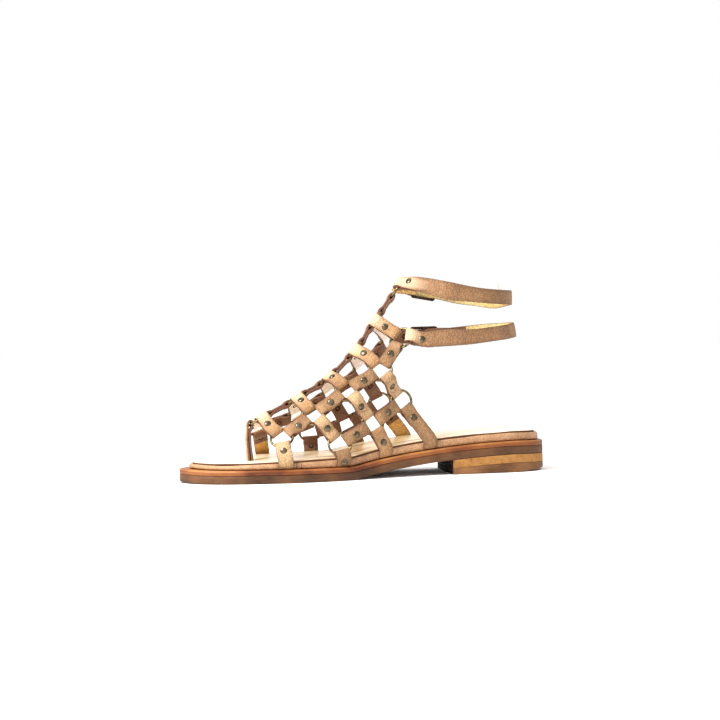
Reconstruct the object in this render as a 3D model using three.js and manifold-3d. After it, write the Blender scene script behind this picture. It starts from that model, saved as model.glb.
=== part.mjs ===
// A gladiator sandal for the right foot: a net of folded leather links and small metal rings on a layered
// leather sole with a low stacked heel, a toe thong and two buckled ankle straps.
// Millimetres. The toe points to -X, the heel to +X, the medial side to -Y, and the floor is z = 0.

import * as THREE from 'three';
import { mergeVertices } from 'three/addons/utils/BufferGeometryUtils.js';
import Module from 'manifold-3d';

const wasm = await Module();
wasm.setup();

// Driving sizes of the sole
const soleLength = 257;
const ballWidth = 88;
const heelWidth = 60;
const heelHeight = 10;
const toeSpring = 0.6;
const heelRollHeight = 1.8;
const outsoleThickness = 5.4;
const midsoleThickness = 3.3;
const footbedThickness = 5.2;
const toeThinning = 2.4;
const coverThickness = 1.2;
const heelLiftThickness = 5.6;
const layerGap = 0.3;
const rimSetIn = 3.2;
const toeSetIn = 6.5;
const coverSetIn = 2.6;
const midsoleBevel = 0.8;

// Driving sizes of the net
const netHeight = 127.5;
const ringRadius = 7.7;
const wireRadius = 0.85;
const leatherThickness = 1.15;
const linkWidth = 9.2;
const legWidth = 10.2;
const thongWidth = 7.6;
const loopReach = 3.9;
const loopLength = 4.6;
const clearance = 0.3;
const footGap = 0.45;
const tuckLength = 7;
const tuckRise = 1.4;
const shortLeg = 6;
const widestMitre = 1.3;

// Driving sizes of the ankle straps and buckles
const strapWidth = 10;
const strapThickness = 1.7;
const buckleLength = 21;
const buckleWidth = 14.6;
const buckleWire = 1.0;
const buckleDistance = 11;
const prongRadius = 0.7;
const tipDistance = 6.5;
const strapRunIn = 9;
const underBarLength = 4.5;
const overPivotLength = 6;

// Segment counts
const stationsPerSide = 20;
const ringSegments = 11;
const wireSides = 5;
const barSides = 6;
const strapSteps = 20;

// Plan of the sole. along runs from the toe tip to the heel; the halves are shares of half the named width
const planRows = [
  { along: 0.000, medial: 0.000, lateral: 0.000, width: ballWidth },
  { along: 0.008, medial: 0.205, lateral: 0.205, width: ballWidth },
  { along: 0.030, medial: 0.430, lateral: 0.410, width: ballWidth },
  { along: 0.070, medial: 0.640, lateral: 0.600, width: ballWidth },
  { along: 0.130, medial: 0.810, lateral: 0.760, width: ballWidth },
  { along: 0.200, medial: 0.920, lateral: 0.875, width: ballWidth },
  { along: 0.280, medial: 0.990, lateral: 0.960, width: ballWidth },
  { along: 0.350, medial: 0.990, lateral: 1.010, width: ballWidth },
  { along: 0.420, medial: 0.930, lateral: 1.020, width: ballWidth },
  { along: 0.510, medial: 0.790, lateral: 0.960, width: ballWidth },
  { along: 0.600, medial: 0.690, lateral: 0.865, width: ballWidth },
  { along: 0.700, medial: 0.945, lateral: 1.120, width: heelWidth },
  { along: 0.800, medial: 0.980, lateral: 1.060, width: heelWidth },
  { along: 0.880, medial: 1.000, lateral: 1.020, width: heelWidth },
  { along: 0.950, medial: 0.840, lateral: 0.860, width: heelWidth },
  { along: 0.985, medial: 0.510, lateral: 0.520, width: heelWidth },
  { along: 1.000, medial: 0.000, lateral: 0.000, width: heelWidth },
];

// Underside of the outsole: shares of the toe spring and of the heel height, along the sole
const bottomRows = [
  { along: 0.000, spring: 1.00, rise: 0.00 },
  { along: 0.035, spring: 0.45, rise: 0.00 },
  { along: 0.080, spring: 0.10, rise: 0.00 },
  { along: 0.120, spring: 0.00, rise: 0.00 },
  { along: 0.430, spring: 0.00, rise: 0.00 },
  { along: 0.455, spring: 0.00, rise: 0.09 },
  { along: 0.480, spring: 0.00, rise: 0.21 },
  { along: 0.510, spring: 0.00, rise: 0.36 },
  { along: 0.570, spring: 0.00, rise: 0.58 },
  { along: 0.630, spring: 0.00, rise: 0.77 },
  { along: 0.700, spring: 0.00, rise: 0.96 },
  { along: 0.780, spring: 0.00, rise: 1.13 },
  { along: 0.840, spring: 0.00, rise: 1.22 },
  { along: 0.890, spring: 0.00, rise: 1.26 },
  { along: 0.950, spring: 0.00, rise: 1.23 },
  { along: 1.000, spring: 0.00, rise: 1.18 },
];

// Footbed towards the toe: share of the thinning, along the sole
const thinningRows = [
  { along: 0.00, share: 1.00 },
  { along: 0.10, share: 0.92 },
  { along: 0.18, share: 0.72 },
  { along: 0.28, share: 0.45 },
  { along: 0.40, share: 0.18 },
  { along: 0.52, share: 0.00 },
  { along: 1.00, share: 0.00 },
];

// Breast of the heel: where the block starts on each side, along the sole
const breastMedial = 0.718;
const breastLateral = 0.742;
const rollStart = 0.84;

// Ring centres: along is a share of the sole's length from the toe, across a share of half the ball's width
// with the medial side negative, and up a share of the net's height above the floor
const ringRows = [
  { name: 'C0', along: 0.209, across: -0.184, up: 0.322 },
  { name: 'C1', along: 0.310, across: -0.110, up: 0.423 },
  { name: 'C2', along: 0.400, across: -0.057, up: 0.528 },
  { name: 'C3', along: 0.479, across: -0.060, up: 0.678 },
  { name: 'C4', along: 0.541, across: 0.020, up: 0.836 },
  { name: 'C5', along: 0.604, across: 0.080, up: 1.000 },
  { name: 'M0', along: 0.251, across: -0.716, up: 0.235 },
  { name: 'M1', along: 0.339, across: -0.661, up: 0.347 },
  { name: 'M2', along: 0.431, across: -0.641, up: 0.469 },
  { name: 'M3', along: 0.525, across: -0.586, up: 0.572 },
  { name: 'M4', along: 0.591, across: -0.459, up: 0.740 },
  { name: 'N1', along: 0.400, across: -0.836, up: 0.192 },
  { name: 'N2', along: 0.495, across: -0.718, up: 0.291 },
  { name: 'N3', along: 0.583, across: -0.535, up: 0.402 },
  { name: 'L0', along: 0.232, across: 0.411, up: 0.265 },
  { name: 'L1', along: 0.333, across: 0.457, up: 0.331 },
  { name: 'L2', along: 0.431, across: 0.491, up: 0.438 },
  { name: 'L3', along: 0.518, across: 0.416, up: 0.565 },
  { name: 'L4', along: 0.595, across: 0.480, up: 0.727 },
  { name: 'K1', along: 0.388, across: 0.880, up: 0.222 },
  { name: 'K2', along: 0.483, across: 0.732, up: 0.264 },
  { name: 'K3', along: 0.572, across: 0.577, up: 0.378 },
];

// Legs: the ring that each hangs from, and where its foot is let into the sole, along the sole
const legRows = [
  { name: 'leg_medial_1', ring: 'M0', along: 0.252 },
  { name: 'leg_medial_2', ring: 'N1', along: 0.409 },
  { name: 'leg_medial_3', ring: 'N2', along: 0.531 },
  { name: 'leg_medial_4', ring: 'N3', along: 0.658 },
  { name: 'leg_lateral_1', ring: 'L0', along: 0.253 },
  { name: 'leg_lateral_2', ring: 'K1', along: 0.393 },
  { name: 'leg_lateral_3', ring: 'K2', along: 0.523 },
  { name: 'leg_lateral_4', ring: 'K3', along: 0.651 },
];

// Thong: where it enters the footbed
const thongFoot = { along: 0.179, across: -0.300 };

// Ankle straps: centre lines from the medial ring round the heel to the lateral ring, in the shares above
const strapRows = {
  upper: [
    { along: 0.661, across: -0.410, up: 1.020 },
    { along: 0.695, across: -0.560, up: 1.002 },
    { along: 0.746, across: -0.640, up: 0.979 },
    { along: 0.803, across: -0.630, up: 0.960 },
    { along: 0.868, across: -0.450, up: 0.949 },
    { along: 0.922, across: 0.000, up: 0.945 },
    { along: 0.882, across: 0.440, up: 0.944 },
    { along: 0.815, across: 0.610, up: 0.953 },
    { along: 0.760, across: 0.590, up: 0.976 },
  ],
  lower: [
    { along: 0.645, across: -0.560, up: 0.728 },
    { along: 0.715, across: -0.660, up: 0.731 },
    { along: 0.768, across: -0.700, up: 0.737 },
    { along: 0.828, across: -0.640, up: 0.749 },
    { along: 0.885, across: -0.440, up: 0.759 },
    { along: 0.929, across: 0.000, up: 0.769 },
    { along: 0.886, across: 0.460, up: 0.761 },
    { along: 0.830, across: 0.680, up: 0.750 },
    { along: 0.765, across: 0.680, up: 0.743 },
  ],
};
const strapLean = { upper: 0.0, lower: 0.16 };

// Colours, roughness and metalness of the real finishes
const finish = (color, roughness, metalness = 0) => new THREE.MeshStandardMaterial({ color, roughness, metalness });
const tanLeather = finish(0xc9a07c, 0.6);
const brownSole = finish(0x7a5a48, 0.65);
const tanMidsole = finish(0xa86a3c, 0.6);
const goldCover = finish(0xe8d6a8, 0.4, 0.2);
const corkLift = finish(0xc08a50, 0.75);
const darkLift = finish(0x5c4434, 0.6);
const antiqueBrass = finish(0x8c7f5e, 0.4, 0.9);

const vector = (x, y, z) => new THREE.Vector3(x, y, z);
const stationX = (along) => (along - 0.5) * soleLength;
const acrossY = (across) => across * ballWidth / 2;
const upZ = (up) => up * netHeight;
const placeOf = (row) => vector(stationX(row.along), acrossY(row.across), upZ(row.up));
const mix = (a, b, t) => a.clone().lerp(b, t);

// A smooth function of x through a column of a table, with no overshoot between equal values
function columnCurve(rows, valueOf) {
  const xs = rows.map((row) => stationX(row.along));
  const ys = rows.map(valueOf);
  const last = xs.length - 1;
  const slopes = [];
  for (let i = 0; i < last; i += 1) slopes.push((ys[i + 1] - ys[i]) / (xs[i + 1] - xs[i]));
  const tangents = xs.map((x, i) => {
    if (i === 0) return slopes[0];
    if (i === last) return slopes[last - 1];
    if (slopes[i - 1] * slopes[i] <= 0) return 0;
    return 2 * slopes[i - 1] * slopes[i] / (slopes[i - 1] + slopes[i]);
  });
  return (x) => {
    const inside = Math.min(Math.max(x, xs[0]), xs[last]);
    let i = 0;
    while (i < last - 1 && inside > xs[i + 1]) i += 1;
    const span = xs[i + 1] - xs[i];
    const t = (inside - xs[i]) / span;
    const rise = (3 - 2 * t) * t * t;
    return ys[i] * (1 - rise) + ys[i + 1] * rise
      + span * (tangents[i] * t * (1 - t) ** 2 - tangents[i + 1] * t * t * (1 - t));
  };
}

const outsoleBottom = columnCurve(bottomRows, (row) => row.spring * toeSpring + row.rise * heelHeight);
const outsoleTop = (x) => outsoleBottom(x) + outsoleThickness;
const midsoleBottom = (x) => outsoleTop(x) + layerGap;
const midsoleTop = (x) => midsoleBottom(x) + midsoleThickness;
const footbedBottom = (x) => midsoleTop(x) + layerGap;
const thinned = columnCurve(thinningRows, (row) => row.share * toeThinning);
const footbedTop = (x) => footbedBottom(x) + footbedThickness - thinned(x);
const coverBottom = (x) => footbedTop(x) + layerGap;
const coverTop = (x) => coverBottom(x) + coverThickness;
const rimInset = columnCurve([
  { along: 0.00, inset: toeSetIn },
  { along: 0.12, inset: rimSetIn },
  { along: 1.00, inset: rimSetIn },
], (row) => row.inset);

// The plan outline as one closed smooth curve: medial side from toe to heel, then the lateral side back
const lastRow = planRows.length - 1;
const medialPoints = planRows.map((row) => vector(stationX(row.along), -row.medial * row.width / 2, 0));
const lateralPoints = planRows.slice(1, lastRow).reverse()
  .map((row) => vector(stationX(row.along), row.lateral * row.width / 2, 0));
const planCurve = new THREE.CatmullRomCurve3([...medialPoints, ...lateralPoints], true, 'centripetal');

// A point of the outline. share runs 0 to 1 from toe to heel on one side; inset moves it inwards
function planPoint(side, share, inset) {
  const t = side < 0 ? share / 2 : 1 - share / 2;
  const point = planCurve.getPoint(t % 1);
  const tangent = planCurve.getTangent(t % 1);
  return vector(point.x - tangent.y * inset, point.y + tangent.x * inset, 0);
}

// The share of one side's outline at which it reaches the given x
function shareAt(side, x) {
  let low = 0;
  let high = 1;
  for (let i = 0; i < 30; i += 1) {
    const middle = (low + high) / 2;
    if (planPoint(side, middle, 0).x < x) low = middle;
    else high = middle;
  }
  return (low + high) / 2;
}

// Geometry from a list of points and triangles
function meshGeometry(points, triangles) {
  const geometry = new THREE.BufferGeometry();
  geometry.setAttribute('position', new THREE.Float32BufferAttribute(points.flatMap((p) => [p.x, p.y, p.z]), 3));
  geometry.setIndex(triangles.flat());
  return geometry;
}

// A layer of the sole: closed contours of the foot's outline stacked upwards, each with an inset and a height
function soleLayer(levels, startMedial = 0, startLateral = 0) {
  const pointed = startMedial === 0;
  const points = [];
  const rings = levels.map(({ inset, height }) => {
    const sides = [[-1, startMedial], [1, startLateral]].map(([side, start]) => {
      const indices = [];
      for (let i = 0; i <= stationsPerSide; i += 1) {
        const share = start + (1 - start) * i / stationsPerSide;
        const shared = side > 0 && (i === stationsPerSide || (pointed && i === 0));
        if (!shared) {
          const flat = planPoint(side, share, 0);
          const point = planPoint(side, share, inset(flat.x));
          point.z = height(flat.x);
          points.push(point);
        }
        indices.push(shared ? null : points.length - 1);
      }
      return indices;
    });
    const [medial, lateral] = sides;
    lateral[stationsPerSide] = medial[stationsPerSide];
    if (pointed) lateral[0] = medial[0];
    return { medial, lateral };
  });
  const triangles = [];
  const quad = (a, b, c, d) => {
    if (a !== b && b !== c && c !== a) triangles.push([a, b, c]);
    if (a !== c && c !== d && d !== a) triangles.push([a, c, d]);
  };
  const bottom = rings[0];
  const top = rings[rings.length - 1];
  for (let i = 0; i < stationsPerSide; i += 1) {
    quad(bottom.medial[i], bottom.lateral[i], bottom.lateral[i + 1], bottom.medial[i + 1]);
    quad(top.medial[i], top.medial[i + 1], top.lateral[i + 1], top.lateral[i]);
  }
  for (let k = 0; k < rings.length - 1; k += 1) {
    const low = rings[k];
    const high = rings[k + 1];
    for (let i = 0; i < stationsPerSide; i += 1) {
      quad(low.medial[i], low.medial[i + 1], high.medial[i + 1], high.medial[i]);
      quad(low.lateral[i + 1], low.lateral[i], high.lateral[i], high.lateral[i + 1]);
    }
    if (!pointed) quad(low.lateral[0], low.medial[0], high.medial[0], high.lateral[0]);
  }
  return meshGeometry(points, triangles);
}

// Closed meshes as solids, and back
function toSolid(geometry) {
  const bare = geometry.clone();
  bare.deleteAttribute('normal');
  bare.deleteAttribute('uv');
  const merged = mergeVertices(bare, 1e-5);
  return new wasm.Manifold(new wasm.Mesh({
    numProp: 3,
    vertProperties: new Float32Array(merged.attributes.position.array),
    triVerts: new Uint32Array(merged.index.array),
  }));
}

function toGeometry(solid) {
  const mesh = solid.getMesh();
  const geometry = new THREE.BufferGeometry();
  geometry.setAttribute('position', new THREE.Float32BufferAttribute(mesh.vertProperties, 3));
  geometry.setIndex(new THREE.Uint32BufferAttribute(mesh.triVerts, 1));
  return geometry;
}

// A loft of four-cornered sections: each has a centre, a half-width vector and a half-thickness vector
function bandSolid(sections) {
  const points = sections.flatMap(({ centre, across, thick }) => [
    centre.clone().sub(across).sub(thick),
    centre.clone().add(across).sub(thick),
    centre.clone().add(across).add(thick),
    centre.clone().sub(across).add(thick),
  ]);
  const triangles = [[0, 2, 1], [0, 3, 2]];
  for (let i = 0; i < sections.length - 1; i += 1) {
    for (let k = 0; k < 4; k += 1) {
      const a = 4 * i + k;
      const b = 4 * i + (k + 1) % 4;
      triangles.push([a, b, b + 4], [a, b + 4, a + 4]);
    }
  }
  const end = 4 * (sections.length - 1);
  triangles.push([end, end + 1, end + 2], [end, end + 2, end + 3]);
  const solid = toSolid(meshGeometry(points, triangles));
  if (solid.volume() > 0) return solid;
  return toSolid(meshGeometry(points, triangles.map(([a, b, c]) => [a, c, b])));
}

// Sections along a path. Each step gives a point, a width direction, its reach to either side of the point along
// that direction, and a half thickness
function pathSections(steps) {
  return steps.map((step, i) => {
    const before = steps[Math.max(i - 1, 0)].point;
    const after = steps[Math.min(i + 1, steps.length - 1)].point;
    const into = step.point.clone().sub(before).normalize();
    const out = after.clone().sub(step.point).normalize();
    if (i === 0) into.copy(out);
    if (i === steps.length - 1) out.copy(into);
    const along = into.clone().add(out).normalize();
    const across = step.across.clone().addScaledVector(along, -step.across.dot(along)).normalize();
    const thick = along.clone().cross(across).normalize();
    const mitre = 1 / Math.max(along.dot(out), 0.5);
    return {
      centre: step.point.clone().addScaledVector(across, (step.left - step.right) / 2),
      across: across.multiplyScalar((step.left + step.right) / 2),
      thick: thick.multiplyScalar(step.halfThickness * mitre),
    };
  });
}

// Rings: centre, plane and the things that hang on each
const rings = {};
for (const row of ringRows) rings[row.name] = { name: row.name, centre: placeOf(row), joins: [] };
const centreOf = (name) => rings[name].centre;
const between = (from, to) => centreOf(to).clone().sub(centreOf(from));

// The foot of a leg: a point beside the rim of the footbed, with the outline's own directions
function legFoot(row) {
  const side = row.name.includes('medial') ? -1 : 1;
  const x = stationX(row.along);
  const share = shareAt(side, x);
  const edge = planPoint(side, share, 0);
  const inner = planPoint(side, share, 1);
  const inward = inner.sub(edge).normalize();
  const slope = (midsoleTop(x + 1) - midsoleTop(x - 1)) / 2;
  const tangent = vector(-inward.y, inward.x, -inward.y * slope).normalize();
  const low = edge.clone().addScaledVector(inward, rimInset(x) - footGap - leatherThickness / 2);
  low.z = midsoleTop(x) + layerGap + leatherThickness / 2 + tuckRise;
  const turned = low.clone().addScaledVector(inward, tuckRise * 0.6);
  turned.z -= tuckRise;
  const above = low.clone().addScaledVector(inward, -leatherThickness / 2);
  above.z = footbedTop(x) + clearance;
  return { low, turned, above, inward, tangent };
}
for (const row of legRows) row.foot = legFoot(row);

// Ring planes, from the directions of what hangs on each ring
const legOf = (ring) => legRows.find((row) => row.ring === ring);
const footFrom = (ring, from) => legOf(ring).foot.above.clone().sub(centreOf(from));
for (const [side, upperRow, lowerRow] of [[-1, 'M', 'N'], [1, 'L', 'K']]) {
  const outward = (along, down) => (side < 0 ? down.cross(along) : along.cross(down)).normalize();
  rings[`${upperRow}0`].normal = outward(between(`${upperRow}0`, `${upperRow}1`), footFrom(`${upperRow}0`, 'C0'));
  for (const i of [1, 2, 3]) {
    const along = between(`${upperRow}${i - 1}`, `${upperRow}${i + 1}`);
    rings[`${upperRow}${i}`].normal = outward(along, between(`C${i}`, `${lowerRow}${i}`));
    const lowAlong = between(`${lowerRow}${Math.max(i - 1, 1)}`, `${lowerRow}${Math.min(i + 1, 3)}`);
    rings[`${lowerRow}${i}`].normal = outward(lowAlong, footFrom(`${lowerRow}${i}`, `${upperRow}${i}`));
  }
  rings[`${upperRow}4`].normal = outward(between(`${upperRow}3`, `${upperRow}4`), between('C4', `${upperRow}4`));
}
for (const i of [0, 1, 2, 3, 4, 5]) {
  const along = between(`C${Math.max(i - 1, 0)}`, `C${Math.min(i + 1, 5)}`);
  const across = i < 5 ? between(`M${i}`, `L${i}`) : vector(0, 1, 0);
  rings[`C${i}`].normal = along.cross(across).normalize();
}

// Everything that hangs on a ring pulls it towards a target point
const links = [];
const addLink = (name, from, to, fused) => links.push({ name, from, to, fused });
for (const i of [0, 1, 2, 3, 4]) addLink(`spine_link_${i + 1}`, `C${i}`, `C${i + 1}`, false);
for (const [sideName, upperRow, lowerRow] of [['medial', 'M', 'N'], ['lateral', 'L', 'K']]) {
  for (const i of [0, 1, 2, 3, 4]) addLink(`rung_link_${sideName}_${i}`, `C${i}`, `${upperRow}${i}`, true);
  for (const i of [0, 1, 2, 3]) addLink(`upper_row_${sideName}_${i + 1}`, `${upperRow}${i}`, `${upperRow}${i + 1}`, false);
  for (const i of [1, 2, 3]) addLink(`drop_link_${sideName}_${i}`, `${upperRow}${i}`, `${lowerRow}${i}`, true);
  for (const i of [1, 2]) addLink(`lower_row_${sideName}_${i}`, `${lowerRow}${i}`, `${lowerRow}${i + 1}`, false);
}
const join = (ring, id, target) => rings[ring].joins.push({ id, target });
for (const link of links) {
  join(link.from, link.name, centreOf(link.to));
  join(link.to, link.name, centreOf(link.from));
}
for (const row of legRows) join(row.ring, row.name, row.foot.above);
const thongPoint = vector(stationX(thongFoot.along), acrossY(thongFoot.across), 0);
thongPoint.z = footbedBottom(thongPoint.x) + layerGap;
join('C0', 'thong', thongPoint);
const strapPoints = {};
for (const name of ['upper', 'lower']) strapPoints[name] = strapRows[name].map(placeOf);
const strapEnds = { upper: ['C5', 'C5'], lower: ['M4', 'L4'] };
for (const name of ['upper', 'lower']) {
  const points = strapPoints[name];
  join(strapEnds[name][0], `${name}_strap_medial`, points[0]);
  join(strapEnds[name][1], `${name}_strap_lateral`, points[points.length - 1]);
}

// Direction of a join in its ring's plane, and the wire's centre where it hangs
function hangOf(ringName, id) {
  const ring = rings[ringName];
  const { target } = ring.joins.find((entry) => entry.id === id);
  const direction = target.clone().sub(ring.centre);
  direction.addScaledVector(ring.normal, -direction.dot(ring.normal)).normalize();
  const wire = ring.centre.clone().addScaledVector(direction, ringRadius);
  const tangent = ring.normal.clone().cross(direction);
  const room = { left: Math.PI, right: Math.PI };
  for (const other of ring.joins) {
    const away = other.target.clone().sub(ring.centre);
    const angle = Math.atan2(away.dot(tangent), away.dot(direction));
    if (other.id !== id && angle > 0) room.left = Math.min(room.left, angle);
    if (other.id !== id && angle < 0) room.right = Math.min(room.right, -angle);
  }
  return { ring, direction, wire, tangent, room };
}

// How far a piece may reach sideways at a distance from the ring's centre before it meets its neighbour
function sideReach(angle, distance, halfWidth) {
  const half = angle / 2;
  if (half > widestMitre) return halfWidth;
  return Math.min(halfWidth, distance * Math.tan(half) - clearance / 2 / Math.cos(half));
}

// A ring of round wire
function ringSolid(name) {
  const ring = rings[name];
  const torus = new THREE.TorusGeometry(ringRadius, wireRadius, wireSides, ringSegments);
  torus.applyQuaternion(new THREE.Quaternion().setFromUnitVectors(vector(0, 0, 1), ring.normal));
  torus.translate(ring.centre.x, ring.centre.y, ring.centre.z);
  return toSolid(torus);
}

// Solid block with given corner, three edge vectors
function blockSolid(corner, first, second, third) {
  return bandSolid([0, 1].map((end) => ({
    centre: corner.clone().addScaledVector(first, end).addScaledVector(second, 0.5).addScaledVector(third, 0.5),
    across: second.clone().multiplyScalar(0.5),
    thick: third.clone().multiplyScalar(0.5),
  })));
}

// The eye of a folded loop: a slot in the plane of the ring that takes the arc of wire inside
function eyeSolid(hang, halfWidth) {
  const sag = ringRadius - Math.sqrt(ringRadius ** 2 - (halfWidth + clearance) ** 2);
  const room = wireRadius + clearance;
  const corner = hang.wire.clone()
    .addScaledVector(hang.direction, -sag - room)
    .addScaledVector(hang.tangent, -halfWidth - 1)
    .addScaledVector(hang.ring.normal, -room);
  return blockSolid(corner, hang.direction.clone().multiplyScalar(sag + 2 * room),
    hang.tangent.clone().multiplyScalar(2 * halfWidth + 2), hang.ring.normal.clone().multiplyScalar(2 * room));
}

// Steps of a folded loop round a ring's wire, from its tip to where the two layers lie together. Its tip is
// mitred against the neighbours on the ring
function loopSteps(hang, direction, halfWidth) {
  const wall = leatherThickness;
  const full = wireRadius + clearance + wall;
  const lean = direction.clone().cross(hang.tangent).dot(hang.direction);
  const step = (distance, halfThickness) => {
    const point = hang.wire.clone().addScaledVector(direction, distance);
    const fromCentre = point.clone().sub(hang.ring.centre).dot(hang.direction) - Math.abs(lean) * halfThickness;
    return {
      point,
      across: hang.tangent,
      left: sideReach(hang.room.left, fromCentre, halfWidth),
      right: sideReach(hang.room.right, fromCentre, halfWidth),
      halfThickness,
    };
  };
  return [
    step(-loopReach, full * 0.5),
    step(-loopReach + full * 0.5, full * 0.95),
    step(full * 0.5, full),
    step(loopLength, wall),
  ];
}
const flipStep = (step) => ({ ...step, across: step.across.clone().negate(), left: step.right, right: step.left });
const evenStep = (point, across, halfWidth, halfThickness) => ({
  point, across, left: halfWidth, right: halfWidth, halfThickness,
});

// A link between two rings
function linkSolid(link) {
  const start = hangOf(link.from, link.name);
  const end = hangOf(link.to, link.name);
  const direction = end.wire.clone().sub(start.wire).normalize();
  const startSteps = loopSteps(start, direction, linkWidth / 2);
  const endSteps = loopSteps(end, direction.clone().negate(), linkWidth / 2).reverse().map(flipStep);
  const solid = bandSolid(pathSections([...startSteps, ...endSteps])).subtract(eyeSolid(start, linkWidth / 2));
  return link.fused ? solid.add(ringSolid(link.to)) : solid.subtract(eyeSolid(end, linkWidth / 2));
}

// A leg: a loop on its ring, then down outside the rim and in between midsole and footbed
function legSteps(row) {
  const hang = hangOf(row.ring, row.name);
  const { low, turned, above, inward, tangent } = row.foot;
  const wall = leatherThickness;
  const flipped = hang.tangent.dot(tangent) < 0;
  const across = flipped ? tangent.clone().negate() : tangent;
  const half = legWidth / 2;
  const direction = above.clone().sub(hang.wire).normalize();
  const reach = above.distanceTo(hang.wire);
  const steps = loopSteps(hang, direction, half).slice(0, reach > shortLeg ? 3 : 2);
  if (reach > loopLength + shortLeg / 2) {
    const blended = hang.tangent.clone().add(across).normalize();
    steps.push(evenStep(mix(hang.wire, above, loopLength / reach), blended, half, wall));
  }
  return [
    ...steps,
    evenStep(above, across, half, wall),
    evenStep(low, across, half, wall / 2),
    evenStep(turned, across, half, wall / 2),
    evenStep(turned.clone().addScaledVector(inward, tuckLength), across, half, wall / 2),
  ];
}
function legSolid(row) {
  return bandSolid(pathSections(legSteps(row))).subtract(eyeSolid(hangOf(row.ring, row.name), legWidth / 2));
}

// The slot that a leg's foot takes under the footbed
function slotSolid(row) {
  const { low, turned, inward, tangent } = row.foot;
  const half = legWidth / 2 + clearance;
  const thick = leatherThickness / 2 + clearance;
  return bandSolid(pathSections([
    evenStep(low, tangent, half, thick),
    evenStep(turned, tangent, half, thick),
    evenStep(turned.clone().addScaledVector(inward, tuckLength + clearance), tangent, half, thick),
  ]));
}

// The thong: a loop on the first ring, down between the toes and through cover and footbed
const thongThick = leatherThickness * 1.3;
function thongSolid() {
  const hang = hangOf('C0', 'thong');
  const direction = thongPoint.clone().sub(hang.wire).normalize();
  const steps = loopSteps(hang, direction, thongWidth / 2);
  steps.push(evenStep(thongPoint, hang.tangent, thongWidth / 2, thongThick));
  return bandSolid(pathSections(steps)).subtract(eyeSolid(hang, thongWidth / 2));
}
function thongSlot() {
  const hang = hangOf('C0', 'thong');
  const half = thongWidth / 2 + clearance;
  const under = hang.wire.clone().lerp(thongPoint, 1.1);
  return bandSolid(pathSections([
    evenStep(mix(thongPoint, hang.wire, 0.5), hang.tangent, half, thongThick + clearance),
    evenStep(under, hang.tangent, half, thongThick + clearance),
  ]));
}

// A round bar between two points
function barSolid(from, to, radius) {
  const bar = new THREE.CylinderGeometry(radius, radius, from.distanceTo(to), barSides);
  bar.applyQuaternion(new THREE.Quaternion().setFromUnitVectors(vector(0, 1, 0), to.clone().sub(from).normalize()));
  const middle = mix(from, to, 0.5);
  bar.translate(middle.x, middle.y, middle.z);
  return toSolid(bar);
}

// The straight stretch of an ankle strap at its buckle, from the lateral ring towards the heel
function buckleFrame(name) {
  const hang = hangOf(strapEnds[name][1], `${name}_strap_lateral`);
  const points = strapPoints[name];
  const along = points[points.length - 1].clone().sub(hang.wire).normalize();
  const lean = vector(0, 0, 1).addScaledVector(vector(-along.y, along.x, 0), strapLean[name]);
  const up = lean.addScaledVector(along, -lean.dot(along)).normalize();
  const out = up.clone().cross(along).normalize();
  if (out.y < 0) out.negate();
  const at = (distance, offset = 0, rise = 0) => hang.wire.clone()
    .addScaledVector(along, distance).addScaledVector(out, offset).addScaledVector(up, rise);
  return { hang, along, up, out, at };
}

const pivotAt = buckleDistance;
const farBarAt = buckleDistance + buckleLength - 2 * buckleWire;
const foldHalf = buckleWire + clearance + leatherThickness;
const longHalf = strapThickness / 2;

// The buckle: a rectangular wire frame and the prong that lies across it
function buckleSolid(name) {
  const { at } = buckleFrame(name);
  const half = buckleWidth / 2 - buckleWire;
  const corners = [at(pivotAt, 0, -half), at(farBarAt, 0, -half), at(farBarAt, 0, half), at(pivotAt, 0, half)];
  let solid = prongSolid(name, 0);
  for (let i = 0; i < 4; i += 1) {
    const from = corners[i];
    const to = corners[(i + 1) % 4];
    const past = to.clone().sub(from).normalize().multiplyScalar(buckleWire * 0.6);
    solid = solid.add(barSolid(from.clone().sub(past), to.clone().add(past), buckleWire));
  }
  return solid;
}
function prongSolid(name, growth) {
  const { at } = buckleFrame(name);
  const lift = buckleWire + prongRadius * 0.6;
  return barSolid(at(pivotAt - growth, buckleWire * 0.2), at(farBarAt + buckleWire + growth, lift),
    prongRadius + growth);
}

// The short strap that holds the buckle: a loop on the lateral ring and a fold round the pivot bar
function buckleStrapSolid(name) {
  const { hang, along, up, at } = buckleFrame(name);
  const loop = loopSteps(hang, along, strapWidth / 2);
  const across = hang.tangent.dot(up) < 0 ? up.clone().negate() : up;
  const ends = [
    [pivotAt - foldHalf * 1.6, leatherThickness],
    [pivotAt - foldHalf * 0.3, foldHalf],
    [pivotAt + foldHalf * 0.5, foldHalf * 0.92],
    [pivotAt + foldHalf, foldHalf * 0.5],
  ].map(([distance, halfThickness]) => evenStep(at(distance), across, strapWidth / 2, halfThickness));
  const solid = bandSolid(pathSections([...loop, ...ends])).subtract(eyeSolid(hang, strapWidth / 2));
  const reach = up.clone().multiplyScalar(strapWidth);
  const bar = barSolid(at(pivotAt).sub(reach), at(pivotAt).add(reach), buckleWire + clearance);
  return solid.subtract(bar).subtract(prongSolid(name, clearance));
}

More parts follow.
